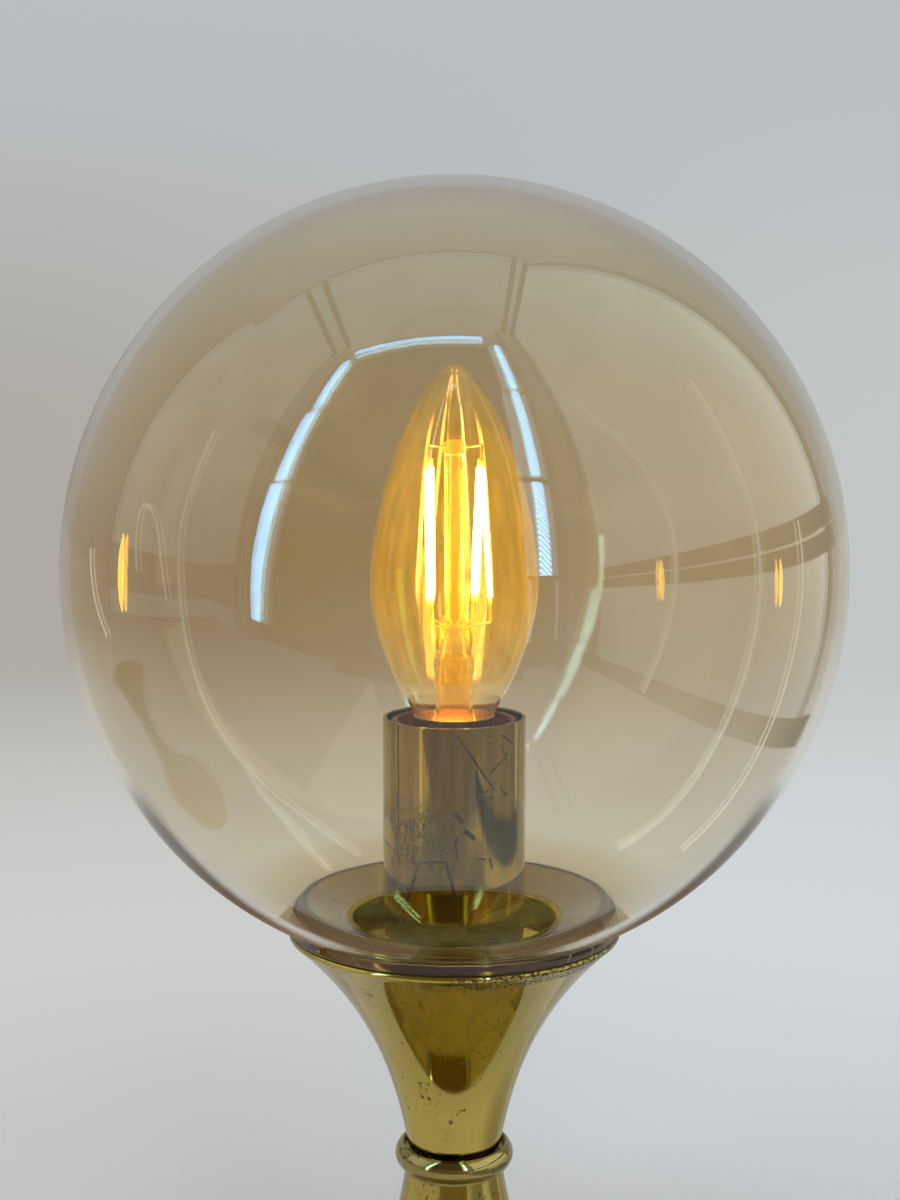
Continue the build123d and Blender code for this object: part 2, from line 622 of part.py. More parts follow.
def bulb_driver():
    """Small driver board in the cap, with its round capacitor."""
    low = CAP_THREAD_BOTTOM + 1.5
    capacitor_low = low + 2.0
    board = Pos(0, 0, low) * Box(DRIVER_WIDE, DRIVER_THICK, DRIVER_TALL,
                                 align=(Align.CENTER, Align.CENTER, Align.MIN))
    capacitor = Pos(0, DRIVER_THICK / 2 + CAPACITOR_R - 0.1, 0) * disc(CAPACITOR_R, capacitor_low,
                                                                      capacitor_low + CAPACITOR_TALL)
    return board + capacitor


# ---- the lamp -------------------------------------------------------------------------------
def lamp_pieces():
    """Every piece by name, from the table upwards."""
    foot_bush_low = FOOT_TOP - BUSH_TALL
    trumpet_bush_top = RING_RECESS_FLOOR + BUSH_TALL
    return {
        "felt_pad": felt_pad(),
        "base_weight": base_weight(),
        "foot_shell": foot_shell(),
        "cable_grommet": cable_grommet(),
        "foot_neck_bush": neck_bush(foot_form(FOOT_WALL), foot_bush_low, FOOT_TOP),
        "threaded_tube": threaded_tube(),
        "tube_nuts": tube_nuts(),
        "tube_washers": tube_washers(),
        "waist_ring": waist_ring(),
        "trumpet_shell": trumpet_shell(),
        "trumpet_neck_bush": neck_bush(trumpet_form(TRUMPET_WALL), RING_RECESS_FLOOR, trumpet_bush_top),
        "gallery_ring": gallery_ring(),
        "glass_globe": glass_globe(),
        "socket_sleeve": socket_sleeve(),
        "lampholder_cap": lampholder_cap(),
        "lampholder_body": lampholder_body(),
        "lampholder_thread": lampholder_thread(),
        "lampholder_contact": lampholder_contact(),
        "lampholder_terminals": lampholder_terminals(),
        "terminal_screws": terminal_screws(),
        "bulb_envelope": bulb_envelope(),
        "bulb_stem": bulb_stem(),
        "bulb_filaments": bulb_filaments(),
        "bulb_wires": bulb_wires(),
        "bulb_cap": bulb_cap(),
        "bulb_insulator": bulb_insulator(),
        "bulb_contact": bulb_contact(),
        "bulb_driver": bulb_driver(),
    }


def main():
    """Write every piece to its own STEP file."""
    os.makedirs("parts", exist_ok=True)
    for name, piece in lamp_pieces().items():
        solids = Compound(children=piece) if isinstance(piece, list) else piece
        export_step(solids, f"parts/{name}.step")
        print(name)


main()
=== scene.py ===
"""Table lamp with a tinted glass globe and a candle bulb on a spun brass stand, dressed around its frame."""
import logging
from contextlib import contextmanager
from dataclasses import dataclass
from enum import Enum
from functools import reduce
from math import cos, hypot, pi, radians, sin, tau
from typing import Callable, Iterator, Optional, Sequence, Union

import bpy
import numpy as np
from mathutils import Matrix, Vector


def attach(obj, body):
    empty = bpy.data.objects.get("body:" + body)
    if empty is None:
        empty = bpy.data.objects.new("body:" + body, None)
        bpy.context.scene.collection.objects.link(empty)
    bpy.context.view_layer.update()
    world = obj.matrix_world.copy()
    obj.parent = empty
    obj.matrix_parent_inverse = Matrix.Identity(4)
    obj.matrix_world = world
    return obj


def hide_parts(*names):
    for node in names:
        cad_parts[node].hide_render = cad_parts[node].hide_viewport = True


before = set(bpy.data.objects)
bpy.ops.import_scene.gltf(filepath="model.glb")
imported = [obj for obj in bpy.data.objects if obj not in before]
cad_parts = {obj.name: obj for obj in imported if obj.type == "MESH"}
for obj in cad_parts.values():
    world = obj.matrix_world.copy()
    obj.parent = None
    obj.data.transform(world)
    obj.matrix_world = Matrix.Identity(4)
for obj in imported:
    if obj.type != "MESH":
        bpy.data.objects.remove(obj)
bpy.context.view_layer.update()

LOG = logging.getLogger("globe_lamp")
MM = 0.001
TINY = 1e-6
FINE = 160                     # steps of a large turned surface
COARSE = 64                    # steps of a small one

Point = tuple[float, float]
Triple = tuple[float, float, float]
Object = bpy.types.Object
Socket = bpy.types.NodeSocket
Feed = Union[Socket, float, Sequence[float]]


# ---- outlines ----
@dataclass(frozen=True)
class Outline:
    """A half outline in millimetres: points given as distance from the axis and height along it."""

    points: tuple[Point, ...]

    def __add__(self, other: "Outline") -> "Outline":
        """Both outlines, one after the other."""
        return Outline(self.points + other.points)

    def back(self) -> "Outline":
        """The same outline, walked the other way."""
        return Outline(self.points[::-1])

    @staticmethod
    def straight(*points: Point) -> "Outline":
        """Corners joined by straight runs."""
        return Outline(tuple(points))

    @staticmethod
    def arc(centre: Point, radii: Point, start: float, end: float, count: int) -> "Outline":
        """Part of an ellipse with these half sizes, between two angles in degrees."""
        angles = [radians(start + (end - start) * i / (count - 1)) for i in range(count)]
        return Outline(tuple((centre[0] + radii[0] * cos(a), centre[1] + radii[1] * sin(a)) for a in angles))

    @staticmethod
    def through(points: Sequence[Point], first: Point, last: Point, count: int) -> "Outline":
        """A smooth curve through some points, with given directions at both ends.

        Args:
            points: Points on the curve, in order.
            first: Direction in which it starts.
            last: Direction in which it ends.
            count: Number of points to give back.

        Returns:
            The curve as an outline.
        """
        known = np.array(points)
        chords = np.linalg.norm(np.diff(known, axis=0), axis=1)
        matrix, sides = np.eye(len(known)), np.zeros_like(known)
        sides[0] = np.array(first) / hypot(*first)
        sides[-1] = np.array(last) / hypot(*last)
        for i in range(1, len(known) - 1):
            before, after = chords[i - 1], chords[i]
            matrix[i, i - 1:i + 2] = after, 2 * (before + after), before
            rise = (known[i] - known[i - 1]) / before * after + (known[i + 1] - known[i]) / after * before
            sides[i] = 3 * rise
        slopes = np.linalg.solve(matrix, sides)
        places = np.concatenate([[0.0], np.cumsum(chords)])
        found = []
        for place in np.linspace(0.0, places[-1], count):
            i = min(int(np.searchsorted(places, place, side="right")) - 1, len(chords) - 1)
            t = (place - places[i]) / chords[i]
            ends = (2 * t ** 3 - 3 * t ** 2 + 1) * known[i] + (3 * t ** 2 - 2 * t ** 3) * known[i + 1]
            pull = (t ** 3 - 2 * t ** 2 + t) * slopes[i] + (t ** 3 - t ** 2) * slopes[i + 1]
            found.append(tuple(float(v) for v in ends + chords[i] * pull))
        return Outline(tuple(found))


@dataclass(frozen=True)
class Flare:
    """A spun trumpet curve: straight taper at the neck, opening by a power law at the rim."""

    neck_r: float
    rim_r: float
    neck_z: float
    rim_z: float
    taper: float
    power: float = 2.7

    def radius(self, z: float, inset: float = 0.0) -> float:
        """Radius at a height.

        Args:
            z: Height in millimetres.
            inset: Distance of the wanted surface inside the outer one.

        Returns:
            The radius in millimetres.
        """
        t = max((z - self.neck_z) / (self.rim_z - self.neck_z), 0.0)
        share = self.taper * t + (1.0 - self.taper) * t ** self.power
        growth = self.taper + (1.0 - self.taper) * self.power * t ** (self.power - 1.0)
        slope = growth * (self.rim_r - self.neck_r) / (self.rim_z - self.neck_z)
        return self.neck_r + (self.rim_r - self.neck_r) * share - inset * hypot(1.0, slope)

    def outline(self, z_first: float, z_last: float, inset: float, count: int) -> Outline:
        """The curve from one height to another, inset from the outer surface."""
        heights = [z_first + (z_last - z_first) * i / (count - 1) for i in range(count)]
        return Outline(tuple((self.radius(z, inset), z) for z in heights))


# ---- modelling bench ----
class Axis(Enum):
    """The axis that a piece is turned about."""

    LAMP = (0.0, 0.0, 1.0)
    CABLE = (0.0, 1.0, 0.0)


class Bench:
    """The modelling bench: operators, as used by hand, on the piece being made."""

    @staticmethod
    def clear() -> None:
        """Leave edit mode and deselect everything."""
        if bpy.context.object is not None and bpy.context.object.mode != "OBJECT":
            bpy.ops.object.mode_set(mode="OBJECT")
        bpy.ops.object.select_all(action="DESELECT")

    @staticmethod
    def pick(piece: Object) -> None:
        """Select one piece alone and make it the active one.

        Args:
            piece: The piece.
        """
        Bench.clear()
        piece.select_set(True)
        bpy.context.view_layer.objects.active = piece

    @staticmethod
    @contextmanager
    def editing(piece: Object, mode: str = "VERT") -> Iterator[None]:
        """Edit mode on one piece, with nothing selected at first.

        Args:
            piece: The piece to edit.
            mode: VERT, EDGE or FACE selection.

        Yields:
            Nothing, while the piece is in edit mode.
        """
        Bench.pick(piece)
        bpy.ops.object.mode_set(mode="EDIT")
        bpy.ops.mesh.select_mode(type=mode)
        bpy.ops.mesh.select_all(action="DESELECT")
        yield
        bpy.ops.object.mode_set(mode="OBJECT")

    @staticmethod
    def choose(piece: Object, test: Callable[[Vector], bool]) -> None:
        """Select the faces whose middle passes a test, with the piece in edit mode.

        Args:
            piece: The piece being edited.
            test: Says of a face's middle whether the face is wanted.
        """
        bpy.ops.object.mode_set(mode="OBJECT")
        piece.data.polygons.foreach_set("select", [test(face.center) for face in piece.data.polygons])
        bpy.ops.object.mode_set(mode="EDIT")

    @staticmethod
    def turn(name: str, outline: Outline, steps: int, axis: Axis = Axis.LAMP, height: float = 0.0,
             closed: bool = True) -> Object:
        """Draw a half outline by extruding one vertex from point to point, then spin it.

        Args:
            name: Name of the new piece.
            outline: Half outline, in millimetres.
            steps: Number of steps round the axis.
            axis: The axis that it is turned about.
            height: Height of a level axis above the table, in millimetres.
            closed: Whether the last point is joined to the first, off the axis.

        Returns:
            The turned piece, with its place in its mesh.
        """
        along = Vector(axis.value)
        across = Vector((1.0, 0.0, 0.0))
        centre = Vector((0.0, 0.0, height * MM))
        spots = [centre + across * r * MM + along * z * MM for r, z in outline.points]
        if closed:
            spots.append(spots[0])
        Bench.clear()
        bpy.ops.mesh.primitive_plane_add(size=MM, location=spots[0])
        piece = bpy.context.object
        piece.name = name
        bpy.ops.object.transform_apply(location=True, rotation=True, scale=True)
        bpy.ops.object.mode_set(mode="EDIT")
        bpy.ops.mesh.select_mode(type="VERT")
        bpy.ops.mesh.select_all(action="SELECT")
        bpy.ops.mesh.merge(type="CENTER")
        for here, there in zip(spots, spots[1:]):
            bpy.ops.mesh.extrude_region_move(TRANSFORM_OT_translate={"value": there - here})
        bpy.ops.mesh.select_all(action="SELECT")
        bpy.ops.mesh.remove_doubles(threshold=TINY)
        bpy.ops.mesh.spin(steps=steps, angle=tau, center=centre, axis=along)
        bpy.ops.mesh.select_all(action="SELECT")
        bpy.ops.mesh.remove_doubles(threshold=TINY)
        bpy.ops.mesh.dissolve_degenerate(threshold=TINY)
        bpy.ops.mesh.normals_make_consistent(inside=False)
        bpy.ops.object.mode_set(mode="OBJECT")
        return piece

    @staticmethod
    def apply_modifier(piece: Object, kind: str, **settings: object) -> None:
        """Add a modifier, set it up and apply it.

        Args:
            piece: The piece that gets it.
            kind: Type of the modifier.
            **settings: Its properties.
        """
        Bench.pick(piece)
        bpy.ops.object.modifier_add(type=kind)
        modifier = piece.modifiers[-1]
        for key, value in settings.items():
            setattr(modifier, key, value)
        bpy.ops.object.modifier_apply(modifier=modifier.name)

    @staticmethod
    def soften(piece: Object, width: float, segments: int = 2, angle: float = 40.0) -> Object:
        """Round every edge that is sharper than an angle.

        Args:
            piece: The piece that gets it.
            width: Width of the rounding in millimetres.
            segments: Faces across the rounding.
            angle: Edges flatter than this many degrees stay as they are.

        Returns:
            The same piece.
        """
        Bench.apply_modifier(piece, "BEVEL", width=width * MM, segments=segments, limit_method="ANGLE",
                             angle_limit=radians(angle), harden_normals=False)
        return piece

    @staticmethod
    def shade(piece: Object, angle: float = 38.0, flats: bool = False) -> Object:
        """Shade smooth, apart from sharp edges.

        Args:
            piece: The piece to shade.
            angle: Edges sharper than this many degrees stay sharp.
            flats: Whether the large faces keep their own direction, beside small roundings.

        Returns:
            The same piece.
        """
        Bench.pick(piece)
        bpy.ops.object.shade_smooth_by_angle(angle=radians(angle))
        if flats:
            Bench.apply_modifier(piece, "WEIGHTED_NORMAL", keep_sharp=True)
        return piece

    @staticmethod
    def settle(piece: Object) -> Object:
        """Move a piece's place, turn and size into its mesh.

        Args:
            piece: The piece.

        Returns:
            The same piece.
        """
        Bench.pick(piece)
        bpy.ops.object.transform_apply(location=True, rotation=True, scale=True)
        return piece

    @staticmethod
    def copy(piece: Object, name: str, move: Matrix) -> Object:
        """A copy with its own mesh, put in place.

        Args:
            piece: The piece to copy.
            name: Name of the copy.
            move: Where the copy goes, from where the piece is.

        Returns:
            The copy.
        """
        Bench.pick(piece)
        bpy.ops.object.duplicate(linked=False)
        twin = bpy.context.object
        twin.name = name
        twin.matrix_world = move @ twin.matrix_world
        return Bench.settle(twin)

    @staticmethod
    def join(pieces: Sequence[Object], name: str) -> Object:
        """Join several pieces into the first one.

        Args:
            pieces: The pieces, which may differ in finish.
            name: Name of the result.

        Returns:
            The joined piece.
        """
        Bench.pick(pieces[0])
        for piece in pieces[1:]:
            piece.select_set(True)
        bpy.ops.object.join()
        pieces[0].name = name
        return pieces[0]

    @staticmethod
    def wire(name: str, spots: Sequence[Vector], thick: float) -> Object:
        """A round wire bent through some points, in metres.

        Args:
            name: Name of the wire.
            spots: Points on its line.
            thick: Half its thickness in millimetres.

        Returns:
            The wire as a mesh.
        """
        Bench.clear()
        bpy.ops.curve.primitive_nurbs_path_add(radius=1.0, location=(0, 0, 0))
        curve = bpy.context.object
        curve.name = name
        spline = curve.data.splines[0]
        spare = len(spline.points) - len(spots)
        if spare < 0:
            spline.points.add(-spare)
        filled = [*spots, *[spots[-1]] * max(spare, 0)]
        spline.points.foreach_set("co", [value for spot in filled for value in (*spot, 1.0)])
        spline.order_u = 3
        spline.use_endpoint_u = True
        curve.data.resolution_u = 5
        curve.data.bevel_depth = thick * MM
        curve.data.bevel_resolution = 2
        curve.data.use_fill_caps = True
        bpy.ops.object.convert(target="MESH")
        return Bench.settle(bpy.context.object)


# ---- material nodes ----
class NodeDesk:
    """Lays nodes in one tree and joins them, so that a recipe reads as a list of steps."""

    def __init__(self, tree: bpy.types.NodeTree) -> None:
        """Work on one tree."""
        self.tree = tree

    @classmethod
    def fresh(cls, owner: Union[bpy.types.Material, bpy.types.World]) -> "NodeDesk":
        """An empty desk for a new material or world.

        Args:
            owner: The material or world.

        Returns:
            The desk.
        """
        owner.use_nodes = True
        owner.node_tree.nodes.clear()
        return cls(owner.node_tree)

    def feed(self, socket: Socket, value: Feed) -> None:
        """Join an output to a socket, or set the socket's own value.

        Args:
            socket: The input that is fed.
            value: An output, a number, a vector, or a colour without its alpha.
        """
        if isinstance(value, bpy.types.NodeSocket):
            self.tree.links.new(value, socket)
        elif socket.type == "RGBA":
            socket.default_value = (*value, 1.0)
        else:
            socket.default_value = value

    def put(self, kind: str, feeds: Optional[dict[Union[str, int], Feed]] = None,
            **settings: object) -> bpy.types.Node:
        """Add a node.

        Args:
            kind: Its type, without ShaderNode in front.
            feeds: What goes into its inputs, by name or number.
            **settings: Its properties.

        Returns:
            The new node.
        """
        node = self.tree.nodes.new("ShaderNode" + kind)
        for key, value in settings.items():
            setattr(node, key, value)
        for key, value in (feeds or {}).items():
            self.feed(node.inputs[key], value)
        return node

    def shader(self, kind: str, feeds: Optional[dict[Union[str, int], Feed]] = None) -> Socket:
        """Add a shader node and give its output."""
        return self.put(kind, feeds).outputs[0]

    def math(self, operation: str, *values: Feed, clamp: bool = False) -> Socket:
        """The result of a sum on numbers."""
        node = self.put("Math", dict(enumerate(values)), operation=operation, use_clamp=clamp)
        return node.outputs[0]

    def chain(self, operation: str, first: Feed, *others: Feed) -> Feed:
        """One operation on a row of numbers, from the first to the last."""
        return reduce(lambda result, other: self.math(operation, result, other), others, first)

    def product(self, *values: Feed) -> Feed:
        """Numbers multiplied."""
        return self.chain("MULTIPLY", *values)

    def total(self, *values: Feed) -> Feed:
        """Numbers added."""
        return self.chain("ADD", *values)

    def minus(self, *values: Feed) -> Feed:
        """The first number less the others."""
        return self.chain("SUBTRACT", *values)

    def most(self, *values: Feed) -> Feed:
        """The largest of some numbers."""
        return self.chain("MAXIMUM", *values)

    def distance(self, x: Socket, y: Socket) -> Socket:
        """Length of a step with these two parts."""
        return self.math("SQRT", self.total(self.product(x, x), self.product(y, y)))

    def spread(self, value: Feed, low: float, high: float, to_low: float = 0.0,
               to_high: float = 1.0) -> Socket:
        """Map a range of values smoothly to another.

        Args:
            value: What is mapped.
            low: Start of its range.
            high: End of its range.
            to_low: Result at the start.
            to_high: Result at the end.

        Returns:
            The mapped value, held within the new range.
        """
        node = self.put("MapRange", {"Value": value, "From Min": low, "From Max": high,
                                     "To Min": to_low, "To Max": to_high}, interpolation_type="SMOOTHSTEP")
        return node.outputs["Result"]

    def blend(self, factor: Feed, first: Feed, second: Feed) -> Socket:
        """Mix two colours."""
        node = self.put("Mix", {0: factor, 6: first, 7: second}, data_type="RGBA")
        return node.outputs[2]

    def noise(self, place: Socket, scale: Feed, detail: float = 2.0, rough: float = 0.5,
              twist: float = 0.0) -> Socket:
        """Soft noise.

        Args:
            place: Coordinates in metres.
            scale: Cells for each metre.
            detail: Octaves.
            rough: Share that each octave keeps.
            twist: How far it is distorted.

        Returns:
            A value about one half.
        """
        node = self.put("TexNoise", {"Vector": place, "Scale": scale, "Detail": detail,
                                     "Roughness": rough, "Distortion": twist})
        return node.outputs["Fac"]

    def place(self) -> Socket:
        """The piece's own coordinates, in metres."""
        return self.put("TexCoord").outputs["Object"]

    def stretched(self, place: Socket, factors: Triple) -> Socket:
        """Coordinates multiplied axis by axis."""
        node = self.put("VectorMath", {0: place, 1: factors}, operation="MULTIPLY")
        return node.outputs[0]

    def split(self, place: Socket) -> tuple[Socket, Socket, Socket]:
        """The three parts of a vector."""
        node = self.put("SeparateXYZ", {0: place})
        return node.outputs[0], node.outputs[1], node.outputs[2]

    def banded(self, bands: Sequence[tuple[float, Triple]]) -> Feed:
        """A colour that runs smoothly from band to band up the piece.

        Args:
            bands: Heights in millimetres, rising, each with its colour.

        Returns:
            The colour.
        """
        z = self.split(self.place())[2]
        colour: Feed = bands[0][1]
        for (low, _), (high, after) in zip(bands, bands[1:]):
            colour = self.blend(self.spread(z, low * MM, high * MM), colour, after)
        return colour

    def glow(self, colour: Feed, strength: Feed, seen: Feed) -> Socket:
        """Plain light where seen is 1, and no surface at all where it is 0."""
        light = self.shader("Emission", {"Color": colour, "Strength": strength})
        return self.shader("MixShader", {0: seen, 1: self.shader("BsdfTransparent"), 2: light})

    def bump(self, height: Socket, depth: float) -> Socket:
        """A normal bent by a height map, whose full depth is given in millimetres."""
        node = self.put("Bump", {"Height": height, "Distance": depth * MM, "Strength": 1.0})
        return node.outputs["Normal"]


class Effect:
    """A shader node group with named inputs and outputs, built once and placed in many materials."""

    name = ""
    takes: tuple[tuple[str, float], ...] = ()
    gives: tuple[str, ...] = ()

    @classmethod
    def lay(cls, desk: NodeDesk, taken: dict[str, Socket]) -> tuple[Socket, ...]:
        """Lay the nodes of the effect, and give one socket for each name in gives."""
        raise NotImplementedError

    @classmethod
    def tree(cls) -> bpy.types.NodeTree:
        """The group's tree, which is made the first time.

        Returns:
            The tree.
        """
        found = bpy.data.node_groups.get(cls.name)
        if found is not None:
            return found
        tree = bpy.data.node_groups.new(cls.name, "ShaderNodeTree")
        for title, value in cls.takes:
            socket = tree.interface.new_socket(name=title, in_out="INPUT", socket_type="NodeSocketFloat")
            socket.default_value = value
        for title in cls.gives:
            tree.interface.new_socket(name=title, in_out="OUTPUT", socket_type="NodeSocketFloat")
        desk = NodeDesk(tree)
        entry, way_out = tree.nodes.new("NodeGroupInput"), tree.nodes.new("NodeGroupOutput")
        results = cls.lay(desk, {title: entry.outputs[title] for title, _ in cls.takes})
        for title, result in zip(cls.gives, results):
            desk.feed(way_out.inputs[title], result)
        return tree

    @classmethod
    def place(cls, desk: NodeDesk, **values: float) -> dict[str, Socket]:
        """Place the effect in a material.

        Args:
            desk: The material's desk.
            **values: Inputs that differ from the group's own values.

        Returns:
            The outputs by name.
        """
        node = desk.put("Group", node_tree=cls.tree())
        for title, value in values.items():
            desk.feed(node.inputs[title], value)
        return {title: node.outputs[title] for title in cls.gives}


class Patina(Effect):
    """Tarnish on metal: a soft cloud over the whole surface, and dark specks that gather in patches."""

    name = "Patina"
    takes = (("cloud_scale", 45.0), ("speck_scale", 900.0), ("cover", 0.5), ("gather", 70.0))
    gives = ("cloud", "specks")

    @classmethod
    def lay(cls, desk: NodeDesk, taken: dict[str, Socket]) -> tuple[Socket, ...]:
        """Lay the nodes of the effect.

        Args:
            desk: Where they are laid.
            taken: The group's inputs by name.

        Returns:
            One socket for each name in gives.
        """
        place = desk.place()
        cloud = desk.spread(desk.noise(place, taken["cloud_scale"], 5.0, 0.6, 0.6), 0.34, 0.7)
        patch = desk.noise(place, taken["gather"], 3.0, 0.55, 0.4)
        grains = desk.noise(place, taken["speck_scale"], 3.0, 0.6)
        reach = desk.product(desk.minus(patch, 0.5), 0.9)
        return cloud, desk.spread(desk.total(grains, reach, taken["cover"]), 1.14, 1.22)


class LatheLines(Effect):
    """Fine lines that run round a turned surface."""

    name = "Lathe_lines"
    takes = (("lines", 2600.0), ("along", 1.0), ("across", 0.0))
    gives = ("height",)

    @classmethod
    def lay(cls, desk: NodeDesk, taken: dict[str, Socket]) -> tuple[Socket, ...]:
        """Lay the nodes of the effect.

        Args:
            desk: Where they are laid.
            taken: The group's inputs by name.

        Returns:
            One socket for each name in gives.
        """
        x, y, z = desk.split(desk.place())
        run = desk.total(desk.product(z, taken["along"]), desk.product(desk.distance(x, y), taken["across"]))
        node = desk.put("TexNoise", {"W": run, "Scale": taken["lines"], "Detail": 3.0},
                        noise_dimensions="1D")
        return (node.outputs["Fac"],)


class Scuffs(Effect):
    """Short fine scratches in a few directions."""

    name = "Scuffs"
    takes = (("scale", 260.0), ("cover", 0.5))
    gives = ("mask",)

    @classmethod
    def lay(cls, desk: NodeDesk, taken: dict[str, Socket]) -> tuple[Socket, ...]:
        """Lay the nodes of the effect.

        Args:
            desk: Where they are laid.
            taken: The group's inputs by name.

        Returns:
            One socket for each name in gives.
        """
        place = desk.place()
        total: Feed = 0.0
        for turn, stretch in ((0.5, (1.0, 1.0, 0.05)), (2.1, (0.12, 0.12, 1.0)), (4.2, (1.0, 0.2, 0.09))):
            turned = desk.put("VectorRotate", {"Vector": place, "Angle": turn}, rotation_type="Z_AXIS")
            streak = desk.noise(desk.stretched(turned.outputs[0], stretch), taken["scale"], 4.0, 0.7)
            total = desk.most(total, desk.spread(streak, 0.61, 0.66))
        patch = desk.spread(desk.noise(place, 55.0, 2.0), 0.42, 0.6)
        return (desk.product(total, patch, taken["cover"]),)


class Stroke(Effect):
    """One deep scratch on an upright round surface, from one angle and height to another."""

    name = "Stroke"
    takes = (("angle_from", 0.0), ("z_from", 0.0), ("angle_to", 0.1), ("z_to", 0.01), ("radius", 0.015),
             ("width", 0.0002))
    gives = ("mask",)

    @classmethod
    def lay(cls, desk: NodeDesk, taken: dict[str, Socket]) -> tuple[Socket, ...]:
        """Lay the nodes of the effect.

        Args:
            desk: Where they are laid.
            taken: The group's inputs by name.

        Returns:
            One socket for each name in gives.
        """
        place = desk.place()
        x, y, z = desk.split(place)
        angle = desk.math("ARCTAN2", x, desk.product(y, -1.0))
        wobble = desk.product(desk.minus(desk.noise(place, 700.0, 3.0), 0.5), 0.9 * MM)
        turned = desk.minus(angle, taken["angle_from"])
        u = desk.total(desk.product(turned, taken["radius"]), wobble)
        v = desk.minus(z, taken["z_from"])
        run_u = desk.product(desk.minus(taken["angle_to"], taken["angle_from"]), taken["radius"])
        run_v = desk.minus(taken["z_to"], taken["z_from"])
        squared = desk.total(desk.product(run_u, run_u), desk.product(run_v, run_v))
        dot = desk.total(desk.product(u, run_u), desk.product(v, run_v))
        t = desk.math("DIVIDE", dot, squared, clamp=True)
        apart = desk.distance(desk.minus(u, desk.product(t, run_u)),
                              desk.minus(v, desk.product(t, run_v)))
        return (desk.spread(desk.math("DIVIDE", apart, taken["width"]), 1.0, 0.45),)


class BlownWaves(Effect):
    """Slow unevenness of blown glass, with a trace of fine orange peel."""

    name = "Blown_waves"
    takes = (("scale", 14.0), ("fine", 0.1))
    gives = ("height",)

    @classmethod
    def lay(cls, desk: NodeDesk, taken: dict[str, Socket]) -> tuple[Socket, ...]:
        """Lay the nodes of the effect.

        Args:
            desk: Where they are laid.
            taken: The group's inputs by name.

        Returns:
            One socket for each name in gives.
        """
        place = desk.place()
        slow = desk.noise(place, taken["scale"], 1.5, 0.4)
        quick = desk.noise(place, desk.product(taken["scale"], 16.0), 1.0, 0.4)
        return (desk.total(slow, desk.product(quick, taken["fine"])),)


class Dust(Effect):
    """Sparse specks of dust and lint."""

    name = "Dust"
    takes = (("scale", 1500.0), ("cover", 0.5))
    gives = ("mask",)

    @classmethod
    def lay(cls, desk: NodeDesk, taken: dict[str, Socket]) -> tuple[Socket, ...]:
        """Lay the nodes of the effect.

        Args:
            desk: Where they are laid.
            taken: The group's inputs by name.

        Returns:
            One socket for each name in gives.
        """
        place = desk.place()
        cells = desk.put("TexVoronoi", {"Vector": place, "Scale": taken["scale"]})
        near = desk.spread(cells.outputs["Distance"], 0.16, 0.08)
        patch = desk.spread(desk.noise(place, 30.0, 3.0), 0.46, 0.62)
        pick = desk.math("GREATER_THAN", desk.split(cells.outputs["Color"])[0], 0.72)
        return (desk.product(near, patch, pick, taken["cover"]),)


# ---- finishes ----
@dataclass(frozen=True)
class Finish:
    """A material with a name, built the first time that a piece asks for it."""

    name: str

    def lay(self, desk: NodeDesk) -> Socket:
        """Lay the nodes of the finish and return the shader."""
        raise NotImplementedError

    def material(self) -> bpy.types.Material:
        """The finish as a material, which is made the first time.

        Returns:
            The material.
        """
        found = bpy.data.materials.get(self.name)
        if found is not None:
            return found
        made = bpy.data.materials.new(self.name)
        desk = NodeDesk.fresh(made)
        desk.put("OutputMaterial", {"Surface": self.lay(desk)})
        return made


@dataclass(frozen=True)
class Brass(Finish):
    """Lacquered brass that has aged: gold where it is polished, olive where it has dulled, dark specks."""

    gold: Triple = (0.50, 0.39, 0.12)
    dull: Triple = (0.38, 0.28, 0.075)
    tarnish: Triple = (0.06, 0.04, 0.015)
    roughness: float = 0.14
    dulling: float = 0.6
    haze: float = 0.06
    streaks: float = 0.0
    streak_dark: Triple = (0.16, 0.10, 0.06)
    speck_cover: float = 0.42
    speck_scale: float = 900.0
    lines: float = 2600.0
    across: float = 0.0
    grain_depth: float = 0.002
    scuff_rough: float = 0.12
    mark_rough: float = 0.35
    mark_metal: float = 0.55

    def extra_marks(self, desk: NodeDesk) -> Feed:
        """Marks of one piece's own, as a mask from 0 to 1."""
        return 0.0

    def lay(self, desk: NodeDesk) -> Socket:
        """Lay the nodes of the finish.

        Args:
            desk: Where they are laid.

        Returns:
            The shader.
        """
        patina = Patina.place(desk, cover=self.speck_cover, speck_scale=self.speck_scale)
        grain = LatheLines.place(desk, lines=self.lines, across=self.across)["height"]
        scuffs = Scuffs.place(desk)["mask"]
        marks = desk.most(patina["specks"], self.extra_marks(desk))
        dulled = desk.product(patina["cloud"], self.dulling)
        colour = desk.blend(dulled, self.gold, self.dull)
        if self.streaks > 0.0:
            upright = desk.stretched(desk.place(), (1.0, 1.0, 0.035))
            wide = desk.spread(desk.noise(upright, 260.0, 4.0, 0.65), 0.38, 0.66, 0.0, self.streaks)
            colour = desk.blend(wide, colour, self.streak_dark)
        return desk.shader("BsdfPrincipled", {
            "Base Color": desk.blend(marks, colour, self.tarnish),
            "Roughness": desk.total(desk.product(dulled, self.haze), self.roughness,
                                    desk.product(scuffs, self.scuff_rough),
                                    desk.product(marks, self.mark_rough)),
            "Metallic": desk.spread(marks, 0.0, 1.0, 1.0, self.mark_metal),
            "Normal": desk.bump(desk.minus(grain, scuffs, marks), self.grain_depth)})


